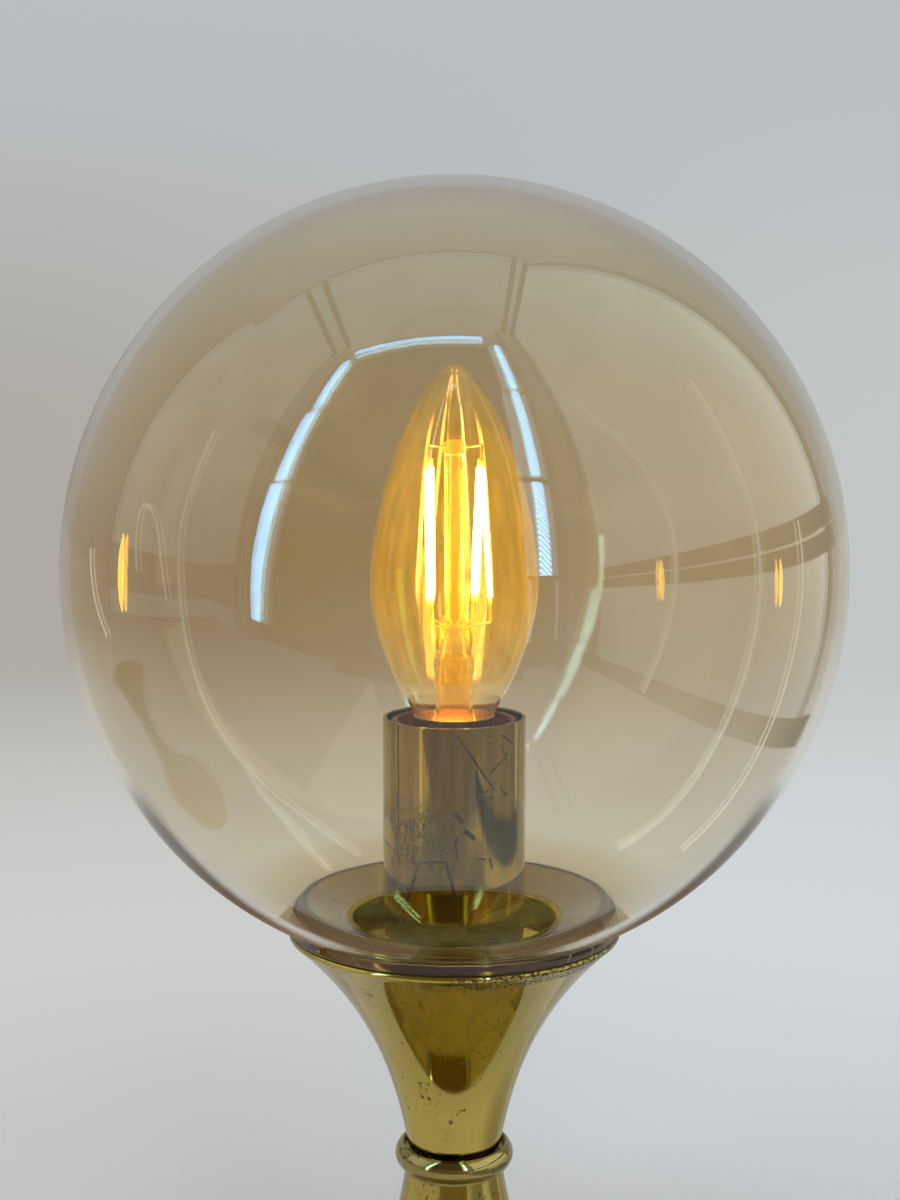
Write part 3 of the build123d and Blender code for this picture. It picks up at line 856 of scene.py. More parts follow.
@dataclass(frozen=True)
class RingedBrass(Brass):
    """Brass with a dark outer edge, beyond a radius in millimetres and above a height."""

    edge_from: float = 31.0
    edge_full: float = 31.5
    edge_low: float = 136.4
    ragged: float = 1.6
    cover: float = 0.85

    def extra_marks(self, desk: NodeDesk) -> Feed:
        """The dark edge, with a ragged border, as a mask.

        Args:
            desk: Where the nodes are laid.

        Returns:
            The mask, from 0 to 1.
        """
        place = desk.place()
        x, y, z = desk.split(place)
        cloud = desk.noise(place, 420.0, 4.0, 0.65)
        shift = desk.product(desk.minus(cloud, 0.5), self.ragged * MM)
        edge = desk.spread(desk.total(desk.distance(x, y), shift), self.edge_from * MM, self.edge_full * MM)
        upper = desk.spread(z, self.edge_low * MM, (self.edge_low + 0.5) * MM)
        return desk.product(edge, upper, self.cover)


@dataclass(frozen=True)
class SpeckledRimBrass(Brass):
    """Brass whose lacquer has broken into black specks along part of the rim."""

    rim_z: float = 128.6
    line_z: float = 132.05
    from_x: float = -4.0
    to_x: float = 3.0

    def extra_marks(self, desk: NodeDesk) -> Feed:
        """The specks and a dark line where the rim meets the glass, as a mask.

        Args:
            desk: Where the nodes are laid.

        Returns:
            The mask, from 0 to 1.
        """
        place = desk.place()
        x, _, z = desk.split(place)
        grains = desk.spread(desk.noise(place, 1700.0, 4.0, 0.7), 0.48, 0.53)
        side = desk.spread(x, self.from_x * MM, self.to_x * MM, 0.12, 1.0)
        rim = desk.spread(z, self.rim_z * MM, (self.rim_z + 0.6) * MM)
        line = desk.spread(z, self.line_z * MM, (self.line_z + 0.15) * MM)
        return desk.most(desk.product(grains, side, rim), line)


@dataclass(frozen=True)
class ScratchedBrass(Brass):
    """The sleeve's brass: deep scratches, the outline of a dark trapezoid, a seam, and fine cracks in the
    lacquer.

    Each stroke is an angle in radians and a height in millimetres where it starts, the same where it ends,
    and its width in millimetres.
    """

    strokes: tuple[tuple[float, float, float, float, float], ...] = (
        (0.04, 175.4, 0.545, 164.5, 0.22), (0.693, 175.2, 0.937, 172.9, 0.2),
        (0.70, 173.0, 0.793, 169.7, 0.2),
        (0.524, 167.9, 0.817, 171.2, 0.16), (0.663, 164.6, 0.797, 162.4, 0.2),
        (-0.484, 149.2, -0.858, 134.7, 0.3), (-0.104, 149.6, 0.146, 134.0, 0.42),
        (-0.484, 149.2, -0.104, 149.8, 0.24), (-0.87, 177.0, -0.87, 147.0, 0.2),
        (-0.86, 143.5, -0.66, 139.8, 0.3), (0.02, 159.6, 0.10, 158.2, 0.5), (0.16, 156.0, 0.26, 154.6, 0.55),
        (0.02, 155.0, 0.03, 150.6, 0.25), (0.30, 150.3, 0.44, 150.0, 0.2), (0.50, 150.0, 0.53, 147.6, 0.2))
    radius: float = 15.0
    widen: float = 1.25
    cracks_low: Point = (143.0, 150.0)
    cracks_high: Point = (165.0, 157.0)
    cracks_side: Point = (3.0, -7.0)

    def extra_marks(self, desk: NodeDesk) -> Feed:
        """The strokes and the cracks, as one mask.

        Args:
            desk: Where the nodes are laid.

        Returns:
            The mask, from 0 to 1.
        """
        total: Feed = 0.0
        for angle_from, z_from, angle_to, z_to, width in self.strokes:
            line = Stroke.place(desk, angle_from=angle_from, z_from=z_from * MM, angle_to=angle_to,
                                z_to=z_to * MM, radius=self.radius * MM, width=self.widen * width * MM)
            total = desk.most(total, line["mask"])
        place = desk.place()
        x, _, z = desk.split(place)
        band = desk.product(*(desk.spread(z, bare * MM, full * MM)
                              for bare, full in (self.cracks_low, self.cracks_high)))
        side = desk.spread(x, self.cracks_side[0] * MM, self.cracks_side[1] * MM, 0.45, 1.0)
        upright = desk.noise(desk.stretched(place, (1.0, 1.0, 0.22)), 1100.0, 5.0, 0.72, 1.8)
        thin = desk.spread(desk.math("ABSOLUTE", desk.minus(upright, 0.5)), 0.058, 0.016)
        patches = desk.spread(desk.noise(place, 240.0, 3.0), 0.38, 0.52)
        return desk.most(total, desk.product(thin, band, side, patches))


@dataclass(frozen=True)
class Glass(Finish):
    """Blown glass. Lamps reach what stands behind it, and it keeps real reflections and refraction.

    Its tint and its glow change with height: each band is a height in millimetres and a colour. The glow is
    painted light of the bulb, in streaks set by glow_smears.
    """

    tints: tuple[tuple[float, Triple], ...]
    mirror_tint: Triple = (1.0, 1.0, 1.0)
    wave_scale: float = 14.0
    wave_depth: float = 0.0
    dust: float = 0.0
    glows: tuple[tuple[float, Triple], ...] = ()
    glow_smears: float = 0.0
    shadow_tint: Triple = (0.9, 0.9, 0.9)

    def lay(self, desk: NodeDesk) -> Socket:
        """Lay the nodes of the finish.

        Args:
            desk: Where they are laid.

        Returns:
            The shader.
        """
        dust = Dust.place(desk, cover=self.dust)["mask"]
        feeds = {
            "Base Color": desk.banded(self.tints),
            "Roughness": desk.product(dust, 0.35),
            "IOR": 1.5,
            "Specular Tint": self.mirror_tint,
            "Transmission Weight": 1.0,
            "Normal": desk.bump(BlownWaves.place(desk, scale=self.wave_scale)["height"], self.wave_depth)}
        if self.glows:
            # Painted glow: streaks of the bulb's light on the glass.
            smear_glow = desk.noise(desk.stretched(desk.place(), (1.0, 1.0, 0.12)), 420.0, 4.0, 0.6, 0.4)
            uneven = desk.spread(smear_glow, 0.3, 0.7, 1.0 - 0.6 * self.glow_smears, 1.0 + 0.6 * self.glow_smears)
            grey = desk.put("CombineXYZ", {0: uneven, 1: uneven, 2: uneven}).outputs[0]
            feeds["Emission Color"] = desk.stretched(desk.banded(self.glows), grey)
            feeds["Emission Strength"] = 1.0
        return desk.shader("MixShader", {
            0: desk.put("LightPath").outputs["Is Shadow Ray"],
            1: desk.shader("BsdfPrincipled", feeds),
            2: desk.shader("BsdfTransparent", {"Color": self.shadow_tint})})


@dataclass(frozen=True)
class Phosphor(Finish):
    """The coated light strips: white hot along the middle, amber towards both ends."""

    core: Triple = (1.0, 0.70, 0.26)
    ends: Triple = (0.12, 0.048, 0.0024)
    coat_dark: Triple = (0.8, 0.5, 0.1)
    coat_light: Triple = (0.95, 0.75, 0.3)
    strength: float = 26.0
    low: float = 200.8
    high: float = 230.3
    fade: float = 3.2

    def lay(self, desk: NodeDesk) -> Socket:
        """Lay the nodes of the finish.

        Args:
            desk: Where they are laid.

        Returns:
            The shader.
        """
        place = desk.place()
        z = desk.split(place)[2]
        mottle = desk.spread(desk.noise(place, 1400.0, 2.0), 0.2, 0.8, 0.9, 1.0)
        inside = desk.product(desk.spread(z, self.low * MM, (self.low + self.fade) * MM),
                              desk.spread(z, self.high * MM, (self.high - self.fade) * MM))
        return desk.shader("BsdfPrincipled", {
            "Base Color": desk.blend(mottle, self.coat_dark, self.coat_light), "Roughness": 0.6,
            "Emission Color": desk.blend(mottle, (0.0, 0.0, 0.0), desk.blend(inside, self.ends, self.core)),
            "Emission Strength": self.strength})


@dataclass(frozen=True)
class Moulding(Finish):
    """Dark phenolic or rubber: a faint mottle and a fine moulded grain."""

    colour: Triple = (0.03, 0.017, 0.008)
    light: Triple = (0.06, 0.035, 0.015)
    roughness: float = 0.35
    grain: float = 900.0
    grain_depth: float = 0.01

    def lay(self, desk: NodeDesk) -> Socket:
        """Lay the nodes of the finish.

        Args:
            desk: Where they are laid.

        Returns:
            The shader.
        """
        place = desk.place()
        mottle = desk.noise(place, 160.0, 4.0, 0.6)
        return desk.shader("BsdfPrincipled", {
            "Base Color": desk.blend(mottle, self.colour, self.light),
            "Roughness": desk.total(desk.product(mottle, 0.15), self.roughness),
            "Normal": desk.bump(desk.noise(place, self.grain, 2.0), self.grain_depth)})


@dataclass(frozen=True)
class Plated(Finish):
    """Plated or bare metal: soft stains and fine scuffs."""

    colour: Triple = (0.6, 0.6, 0.6)
    stain: Triple = (0.3, 0.3, 0.3)
    roughness: float = 0.3
    scuff_depth: float = 0.003
    # Optional painted glow by height, for metal that shines with the bulb's light.
    glows: tuple[tuple[float, Triple], ...] = ()

    def lay(self, desk: NodeDesk) -> Socket:
        """Lay the nodes of the finish.

        Args:
            desk: Where they are laid.

        Returns:
            The shader.
        """
        patina = Patina.place(desk, cloud_scale=120.0, cover=0.38)
        scuffs = Scuffs.place(desk, scale=500.0)["mask"]
        feeds = {
            "Base Color": desk.blend(patina["cloud"], self.colour, self.stain), "Metallic": 1.0,
            "Roughness": desk.total(desk.product(patina["cloud"], 0.15), self.roughness,
                                    desk.product(scuffs, 0.1)),
            "Normal": desk.bump(desk.minus(0.0, scuffs), self.scuff_depth)}
        if self.glows:
            feeds.update({"Emission Color": desk.banded(self.glows), "Emission Strength": 1.0})
        return desk.shader("BsdfPrincipled", feeds)


@dataclass(frozen=True)
class CastIron(Finish):
    """Rough cast iron with a trace of rust."""

    skin: Triple = (0.06, 0.06, 0.065)
    rusty: Triple = (0.13, 0.05, 0.02)
    pit_depth: float = 0.08

    def lay(self, desk: NodeDesk) -> Socket:
        """Lay the nodes of the finish.

        Args:
            desk: Where they are laid.

        Returns:
            The shader.
        """
        place = desk.place()
        rust = desk.spread(desk.noise(place, 60.0, 5.0, 0.65), 0.48, 0.7)
        pits = desk.noise(place, 700.0, 4.0, 0.7)
        return desk.shader("BsdfPrincipled", {
            "Base Color": desk.blend(rust, self.skin, self.rusty),
            "Metallic": desk.spread(rust, 0.0, 1.0, 0.7, 0.1),
            "Roughness": desk.spread(pits, 0.2, 0.8, 0.55, 0.8),
            "Normal": desk.bump(pits, self.pit_depth)})


@dataclass(frozen=True)
class Felt(Finish):
    """Pressed wool felt."""

    dark: Triple = (0.008, 0.02, 0.010)
    light: Triple = (0.03, 0.06, 0.032)
    pile: float = 0.15

    def lay(self, desk: NodeDesk) -> Socket:
        """Lay the nodes of the finish.

        Args:
            desk: Where they are laid.

        Returns:
            The shader.
        """
        place = desk.place()
        fibres = desk.noise(desk.stretched(place, (1.0, 0.4, 1.0)), 1500.0, 5.0, 0.75, 1.2)
        tufts = desk.noise(place, 220.0, 3.0)
        return desk.shader("BsdfPrincipled", {
            "Base Color": desk.blend(desk.product(fibres, tufts), self.dark, self.light),
            "Roughness": desk.spread(fibres, 0.3, 0.7, 0.85, 1.0),
            "Sheen Weight": 0.3, "Sheen Roughness": 0.5,
            "Normal": desk.bump(fibres, self.pile)})


class Stock:
    """Every finish of the lamp, by the job that it does."""

    TRUMPET = SpeckledRimBrass("Brass_trumpet", gold=(0.50, 0.385, 0.085), roughness=0.045, dulling=0.4,
                               haze=0.03, speck_cover=0.45, grain_depth=0.0008)
    DISH = RingedBrass("Brass_dish", gold=(0.45, 0.30, 0.03), dull=(0.33, 0.22, 0.03), dulling=0.8,
                       roughness=0.10, across=1.0, tarnish=(0.07, 0.065, 0.055))
    SLEEVE = ScratchedBrass("Brass_sleeve", gold=(0.50, 0.39, 0.078), dull=(0.36, 0.27, 0.055),
                            roughness=0.055, dulling=0.5, speck_cover=0.45, streaks=0.7, grain_depth=0.001)
    WAIST = Brass("Brass_waist", gold=(0.40, 0.31, 0.10), dull=(0.22, 0.17, 0.065), dulling=0.85,
                  roughness=0.07, haze=0.05, speck_cover=0.44, lines=3800.0, grain_depth=0.004)
    FOOT = Brass("Brass_foot", gold=(0.50, 0.385, 0.095), dull=(0.38, 0.275, 0.065), dulling=0.6,
                 roughness=0.05, haze=0.03, speck_cover=0.46, grain_depth=0.0012)
    TURNED = Brass("Brass_turned", dulling=0.3, roughness=0.22, lines=4200.0, grain_depth=0.004)
    # The tint is painted shade where it darkens at the mouth and painted warm light where it deepens round
    # the bulb's height; the mirror tint gives every reflection a painted cool colour.
    GLOBE = Glass("Glass_tinted", mirror_tint=(0.82, 0.95, 1.0), wave_scale=12.0, wave_depth=0.03, dust=0.4,
                  tints=((132.5, (0.50, 0.33, 0.10)), (138.0, (0.80, 0.70, 0.48)),
                         (142.0, (0.93, 0.885, 0.76)), (160.0, (0.895, 0.835, 0.71)),
                         (180.0, (0.845, 0.762, 0.625)), (207.0, (0.81, 0.68, 0.475)),
                         (235.0, (0.825, 0.71, 0.52)), (265.0, (0.81, 0.725, 0.56)),
                         (286.0, (0.82, 0.75, 0.63))),
                  shadow_tint=(0.80, 0.72, 0.56))
    # The glows are painted light of the strips on the envelope.
    BULB = Glass("Glass_bulb", wave_scale=40.0, wave_depth=0.02, shadow_tint=(0.94, 0.92, 0.86),
                 tints=((178.0, (1.0, 0.97, 0.85)), (204.0, (1.0, 0.95, 0.60)), (228.0, (1.0, 0.95, 0.62)),
                        (249.0, (1.0, 0.97, 0.80))), glow_smears=1.0,
                 glows=((180.0, (0.03, 0.013, 0.0)), (203.0, (0.085, 0.040, 0.001)),
                        (226.0, (0.085, 0.040, 0.001)), (248.0, (0.02, 0.011, 0.0))))
    # The glows are painted light: the glass mount shines with the strips' light, most at its foot and near
    # the strips.
    STEM = Glass("Glass_stem", wave_scale=120.0, wave_depth=0.03,
                 tints=((176.0, (1.0, 0.86, 0.50)), (190.0, (1.0, 0.90, 0.58)), (234.0, (1.0, 0.93, 0.70))),
                 glows=((174.8, (0.80, 0.30, 0.03)), (176.2, (0.35, 0.13, 0.01)), (177.6, (0.05, 0.021, 0.0)),
                        (190.0, (0.05, 0.021, 0.0)), (197.0, (0.30, 0.14, 0.003)),
                        (210.0, (0.34, 0.19, 0.012))))
    # The wires' glow is painted light of the strips, brightest just below them.
    WIRE = Plated("Plated_wire", colour=(0.62, 0.57, 0.48), stain=(0.4, 0.35, 0.27), roughness=0.2,
                  glows=((176.0, (0.05, 0.02, 0.001)), (186.0, (0.30, 0.15, 0.010)),
                         (198.0, (1.3, 0.70, 0.05)), (202.0, (0.6, 0.35, 0.03)),
                         (229.0, (0.6, 0.35, 0.03)), (236.0, (0.45, 0.25, 0.02))))
    STRIPS = Phosphor("Phosphor_strips")
    HOLDER = Moulding("Phenolic_brown", colour=(0.045, 0.020, 0.008), light=(0.075, 0.034, 0.012),
                      roughness=0.25)
    RUBBER = Moulding("Rubber_black", colour=(0.012, 0.012, 0.013), light=(0.02, 0.02, 0.021), roughness=0.5)
    BLACK_GLASS = Moulding("Glass_black", colour=(0.004, 0.004, 0.006), light=(0.008, 0.007, 0.01),
                           roughness=0.08)
    BOARD = Moulding("Board_green", colour=(0.01, 0.06, 0.025), light=(0.02, 0.09, 0.035), roughness=0.45)
    NICKEL = Plated("Plated_nickel", colour=WIRE.colour, stain=WIRE.stain, roughness=WIRE.roughness)
    ZINC = Plated("Plated_zinc", colour=(0.55, 0.56, 0.58), stain=(0.3, 0.3, 0.31), roughness=0.32)
    BRONZE = Plated("Spring_bronze", colour=(0.6, 0.36, 0.2), stain=(0.3, 0.17, 0.09), roughness=0.28)
    SOLDER = Plated("Solder_tip", colour=(0.66, 0.67, 0.7), stain=(0.4, 0.4, 0.42), roughness=0.35)
    IRON = CastIron("Iron_cast")
    FELT = Felt("Felt_green")


# ---- sub-assemblies ----
@dataclass
class SubAssembly:
    """Pieces that belong together and ride one body."""

    body: str

    def build(self) -> None:
        """Make and dress every piece."""
        raise NotImplementedError

    def hand_over(self, piece: Object, finishes: Sequence[Finish], slot: str, *nodes: str) -> None:
        """Dress a new piece and put it on its body.

        Args:
            piece: The piece.
            finishes: One finish for each of its material slots.
            slot: Not used.
            *nodes: The frame's nodes that it stands for.
        """
        piece.data.materials.clear()
        for finish in finishes:
            piece.data.materials.append(finish.material())
        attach(piece, self.body)
        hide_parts(*nodes)
        LOG.info("%s: %d faces, for %s", piece.name, len(piece.data.polygons), ", ".join(nodes))

    def refinish(self, finish: Finish, *nodes: str) -> None:
        """Give nodes of the frame their finish, and leave their shapes alone.

        Args:
            finish: The finish, for all their material slots.
            *nodes: Their names.
        """
        for node in nodes:
            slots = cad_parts[node].data.materials
            if not slots:
                slots.append(finish.material())
            for index in range(len(slots)):
                slots[index] = finish.material()
            LOG.info("%s: kept, finish %s", node, finish.name)


@dataclass
class Foot(SubAssembly):
    """Spun brass foot with its felt, its weight and the cable inlet."""

    edge_r: float = 62.0
    edge_top: float = 14.0
    shoulder: float = 2.5
    neck_r: float = 10.4
    top: float = 79.3
    wall: float = 1.0
    felt_r: float = 61.5
    felt_thick: float = 2.0
    cable_z: float = 7.2
    bore_r: float = 3.0

    def flare(self) -> Flare:
        """The curve of the foot."""
        return Flare(self.neck_r, self.edge_r, self.top, self.edge_top, taper=0.21)

    def spun_shell(self) -> Object:
        """The foot: rolled edge, shoulder and flare outside, and the same inside.

        Returns:
            The piece.
        """
        flare, low, inner_r = self.flare(), self.felt_thick, self.edge_r - self.wall
        start = self.edge_top + 1.3
        outside = Outline.straight((self.edge_r, low)) + Outline.arc(
            (self.edge_r - self.shoulder, self.edge_top - self.shoulder / 2),
            (self.shoulder, self.shoulder), 0.0, 62.0, 9)
        outside += flare.outline(start, self.top, 0.0, 64)
        inside = flare.outline(self.top, start, self.wall, 40)
        inside += Outline.straight((inner_r, self.edge_top - self.shoulder), (inner_r, low))
        return Bench.shade(Bench.turn("foot_spun", outside + inside, FINE))

    def felt_disc(self) -> Object:
        """Felt disc with a soft cut edge.

        Returns:
            The piece.
        """
        Bench.clear()
        bpy.ops.mesh.primitive_cylinder_add(vertices=128, radius=self.felt_r * MM, depth=self.felt_thick * MM,
                                            location=(0, 0, self.felt_thick / 2 * MM))
        piece = Bench.settle(bpy.context.object)
        piece.name = "felt_disc"
        with Bench.editing(piece, "FACE"):
            Bench.choose(piece, lambda middle: middle.xy.length < self.felt_r * 0.5 * MM)
            bpy.ops.mesh.inset(thickness=1.5 * MM, depth=0.0)
        return Bench.shade(Bench.soften(piece, 0.5, segments=3))

    def grommet(self) -> Object:
        """Rubber inlet: a rolled flange, the body through the wall and the snap rim inside.

        Returns:
            The piece.
        """
        flange_r, body_r, roll_r, lip_r = 4.4, 3.8, 0.6, 0.4
        face, back = self.edge_r + 1.2, self.edge_r - 0.15
        end, crest, snap = self.edge_r - 4.0, self.edge_r - 2.6, self.edge_r - 1.4
        roll = Outline.arc((flange_r - roll_r, face - roll_r), (roll_r, roll_r), 0.0, 90.0, 6)
        lip = Outline.arc((self.bore_r + lip_r, face - lip_r), (lip_r, lip_r), 90.0, 180.0, 5)
        tail = Outline.straight((self.bore_r, end), (body_r - 0.3, end), (flange_r, crest), (flange_r, snap),
                                (body_r, snap), (body_r, back), (flange_r, back))
        return Bench.shade(Bench.turn("inlet_grommet", tail + roll + lip, COARSE, Axis.CABLE, self.cable_z))

    def build(self) -> None:
        """Make and dress every piece."""
        self.hand_over(self.spun_shell(), [Stock.FOOT], "aged_brass", "foot_shell")
        self.hand_over(self.felt_disc(), [Stock.FELT], "felt", "felt_pad")
        self.hand_over(self.grommet(), [Stock.RUBBER], "grommet_black", "cable_grommet")
        self.refinish(Stock.IRON, "base_weight")
        self.refinish(Stock.TURNED, "foot_neck_bush")


@dataclass
class Spine(SubAssembly):
    """The threaded tube and what it clamps."""

    def build(self) -> None:
        """Dress every piece."""
        self.refinish(Stock.ZINC, "threaded_tube", "tube_nuts", "tube_washers")


@dataclass
class Waist(SubAssembly):
    """The turned ring between the foot and the trumpet."""

    bead_r: float = 12.65
    base_r: float = 11.1
    land_r: float = 11.5
    top_land_r: float = 11.3
    recess_r: float = 10.9
    hole_r: float = 5.1
    foot_top: float = 79.3
    shoulder: float = 80.0
    recess_floor: float = 83.0
    top: float = 84.9

    def ring(self) -> Object:
        """The ring, with its half-round bead.

        Returns:
            The piece.
        """
        middle = (self.shoulder + self.top) / 2
        bead = Outline.through([(self.land_r, self.shoulder), (self.bead_r, middle),
                                (self.top_land_r, self.top)], (0.85, 0.6), (-0.85, 0.6), 25)
        rest = Outline.straight((self.recess_r, self.top), (self.recess_r, self.recess_floor),
                                (self.hole_r, self.recess_floor), (self.hole_r, self.foot_top),
                                (self.base_r, self.foot_top), (self.base_r, self.shoulder))
        return Bench.shade(Bench.soften(Bench.turn("waist_bead", bead + rest, FINE), 0.12))

    def build(self) -> None:
        """Make and dress every piece."""
        self.hand_over(self.ring(), [Stock.WAIST], "aged_brass", "waist_ring")


@dataclass
class Trumpet(SubAssembly):
    """The spun trumpet that carries the globe, and the dish in its rim."""

    neck_r: float = 9.6
    rim_r: float = 34.4
    neck_z: float = 83.0
    hem_r: float = 35.0
    hem_bore: float = 33.3
    rim: float = 132.4
    hem_tall: float = 1.6
    wall: float = 0.8
    dish_top: float = 138.0
    hole_r: float = 21.5
    hole_z: float = 134.1
    lip: float = 1.6
    dish_wall: float = 0.8
    bend: float = 1.2

    def flare(self) -> Flare:
        """The curve of the trumpet."""
        return Flare(self.neck_r, self.rim_r, self.neck_z, self.rim - self.hem_tall, taper=0.37)

    def shell(self) -> Object:
        """The trumpet, its rim rolled into a hem.

        Returns:
            The piece.
        """
        flare, half, hem_low = self.flare(), self.hem_tall / 2, self.rim - self.hem_tall
        swell, break_edge = 0.2, 0.1
        hem = Outline.arc((self.hem_r - half, hem_low + half), (half, half), -60.0, 80.0, 10)
        outside = flare.outline(self.neck_z, hem_low - swell, 0.0, 72) + hem
        inside = Outline.straight((self.hem_bore + break_edge, self.rim),
                                  (self.hem_bore, self.rim - break_edge), (self.hem_bore, hem_low))
        inside += flare.outline(hem_low - 1.0, self.neck_z, self.wall, 48)
        return Bench.shade(Bench.turn("trumpet_spun", outside + inside, FINE))

    def dish(self) -> Object:
        """The dish: a skirt in the globe's mouth, bent over and sloping in to a hole with a lip.

        Returns:
            The piece.
        """
        outer, wall, edge_r = self.hem_bore, self.dish_wall, 0.9
        slope = (self.dish_top - self.hole_z) / (outer - self.hole_r)
        bend, inner_r, bend_end = (outer - self.bend, self.dish_top - self.bend), self.bend - wall, 108.0
        crown = Outline.arc(bend, (self.bend, self.bend), 0.0, bend_end, 10)
        crown_in = Outline.arc(bend, (inner_r, inner_r), bend_end, 0.0, 6)
        edge = Outline.arc((self.hole_r + edge_r, self.hole_z - wall), (edge_r, edge_r), 100.0, 180.0, 8)
        edge_in = Outline.straight((self.hole_r + wall, self.hole_z - self.lip),
                                   (self.hole_r + wall, self.hole_z - edge_r - slope * wall))
        low = self.rim - self.hem_tall
        outline = Outline.straight((outer, low)) + crown + edge
        outline += Outline.straight((self.hole_r, self.hole_z - self.lip)) + edge_in + crown_in
        outline += Outline.straight((outer - wall, low))
        return Bench.shade(Bench.turn("gallery_dish", outline, FINE), flats=True)

    def build(self) -> None:
        """Make and dress every piece."""
        self.hand_over(self.shell(), [Stock.TRUMPET], "aged_brass", "trumpet_shell")
        self.hand_over(self.dish(), [Stock.DISH], "aged_brass", "gallery_ring")
        self.refinish(Stock.TURNED, "trumpet_neck_bush")


@dataclass
class Globe(SubAssembly):
    """The blown globe."""

    radius: float = 80.0
    lower: float = 81.5
    centre: float = 207.5
    wall: float = 2.0
    mouth_r: float = 33.9
    collar_r: float = 35.3
    rim: float = 132.4

    def side(self, radius: float, lower: float, mouth_r: float, count: int) -> Outline:
        """One face of the glass, from the crown to the mouth.

        Args:
            radius: Its radius.
            lower: Half its height below the middle.
            mouth_r: Radius at which the collar starts.
            count: Points on each of the two curves.

        Returns:
            The face as an outline.
        """
        crown = Outline.arc((0.0, self.centre), (radius, radius), 90.0, 0.0, count)
        sweep = float(np.degrees(np.arccos(mouth_r / radius)))
        belly = Outline.arc((0.0, self.centre), (radius, lower), 0.0, -sweep, count)
        return crown + Outline(belly.points[1:])

    def glass(self) -> Object:
        """The globe, with a fire-polished edge round its mouth.

        Returns:
            The piece.
        """
        outside = self.side(self.radius, self.lower, self.collar_r, 48)
        inside = self.side(self.radius - self.wall, self.lower - self.wall, self.mouth_r, 48)
        half = (self.collar_r - self.mouth_r) / 2
        polish = Outline.arc((self.mouth_r + half, self.rim + half), (half, half), 0.0, -180.0, 9)
        piece = Bench.turn("globe_blown", outside + polish + inside.back(), 192, closed=False)
        return Bench.shade(piece, 60.0)

    def build(self) -> None:
        """Make and dress every piece."""
        self.hand_over(self.glass(), [Stock.GLOBE], "tinted_glass", "glass_globe")


@dataclass
class Lampholder(SubAssembly):
    """The polished sleeve and the moulded lampholder inside it."""

    sleeve_r: float = 15.0
    sleeve_wall: float = 0.8
    sleeve_low: float = 127.5
    sleeve_top: float = 177.1
    sleeve_rings: tuple[float, ...] = (140.0, 158.0)
    tube_hole: float = 5.1
    holder_r: float = 13.3
    split: float = 140.3
    top: float = 176.5
    mouth_r: float = 12.0
    mouth_floor: float = 172.0
    bore_r: float = 9.0
    web_top: float = 150.0
    web_bottom: float = 146.0
    spigot_r: float = 11.4
    spigot_bore: float = 9.8
    spigot_low: float = 137.3

    def sleeve(self) -> Object:
        """The drawn brass cup, with a rounded floor and a soft top edge.

        Returns:
            The piece.
        """
        bend = 1.4
        inner, floor_top = self.sleeve_r - self.sleeve_wall, self.sleeve_low + self.sleeve_wall
        foot = Outline.arc((self.sleeve_r - bend, self.sleeve_low + bend), (bend, bend), -90.0, 0.0, 8)
        outline = Outline.straight((self.tube_hole, self.sleeve_low)) + foot
        outline += Outline.straight(*((self.sleeve_r, z) for z in self.sleeve_rings))
        outline += Outline.straight((self.sleeve_r, self.sleeve_top), (inner, self.sleeve_top),
                                    (inner, floor_top + bend - self.sleeve_wall),
                                    (inner - bend + self.sleeve_wall, floor_top), (self.tube_hole, floor_top))
        return Bench.shade(Bench.soften(Bench.turn("sleeve_drawn", outline, FINE), 0.22), flats=True)

    def holder(self) -> Object:
        """The moulded body: spigot, web, bore and wide mouth with a rounded lip.

        Returns:
            The piece.
        """
        outer_lip_r, inner_lip_r = 0.5, 0.3
        lip = Outline.arc((self.holder_r - outer_lip_r, self.top - outer_lip_r), (outer_lip_r, outer_lip_r),
                          0.0, 90.0, 6)
        inner_lip = Outline.arc((self.mouth_r + inner_lip_r, self.top - inner_lip_r),
                                (inner_lip_r, inner_lip_r), 90.0, 180.0, 4)
        outline = Outline.straight((0.0, self.web_bottom), (self.spigot_bore, self.web_bottom),
                                   (self.spigot_bore, self.spigot_low), (self.spigot_r, self.spigot_low),
                                   (self.spigot_r, self.split), (self.holder_r, self.split))
        outline += lip + inner_lip
        outline += Outline.straight((self.mouth_r, self.mouth_floor), (self.bore_r, self.mouth_floor - 0.6),
                                    (self.bore_r, self.web_top), (0.0, self.web_top))
        piece = Bench.turn("holder_moulded", outline, 96, closed=False)
        return Bench.shade(Bench.soften(piece, 0.15), flats=True)

    def build(self) -> None:
        """Make and dress every piece."""
        self.hand_over(self.sleeve(), [Stock.SLEEVE], "aged_brass", "socket_sleeve")
        self.hand_over(self.holder(), [Stock.HOLDER], "phenolic", "lampholder_body")
        self.refinish(Stock.HOLDER, "lampholder_cap")
        self.refinish(Stock.TURNED, "lampholder_thread", "lampholder_terminals")
        self.refinish(Stock.BRONZE, "lampholder_contact")
        self.refinish(Stock.ZINC, "terminal_screws")


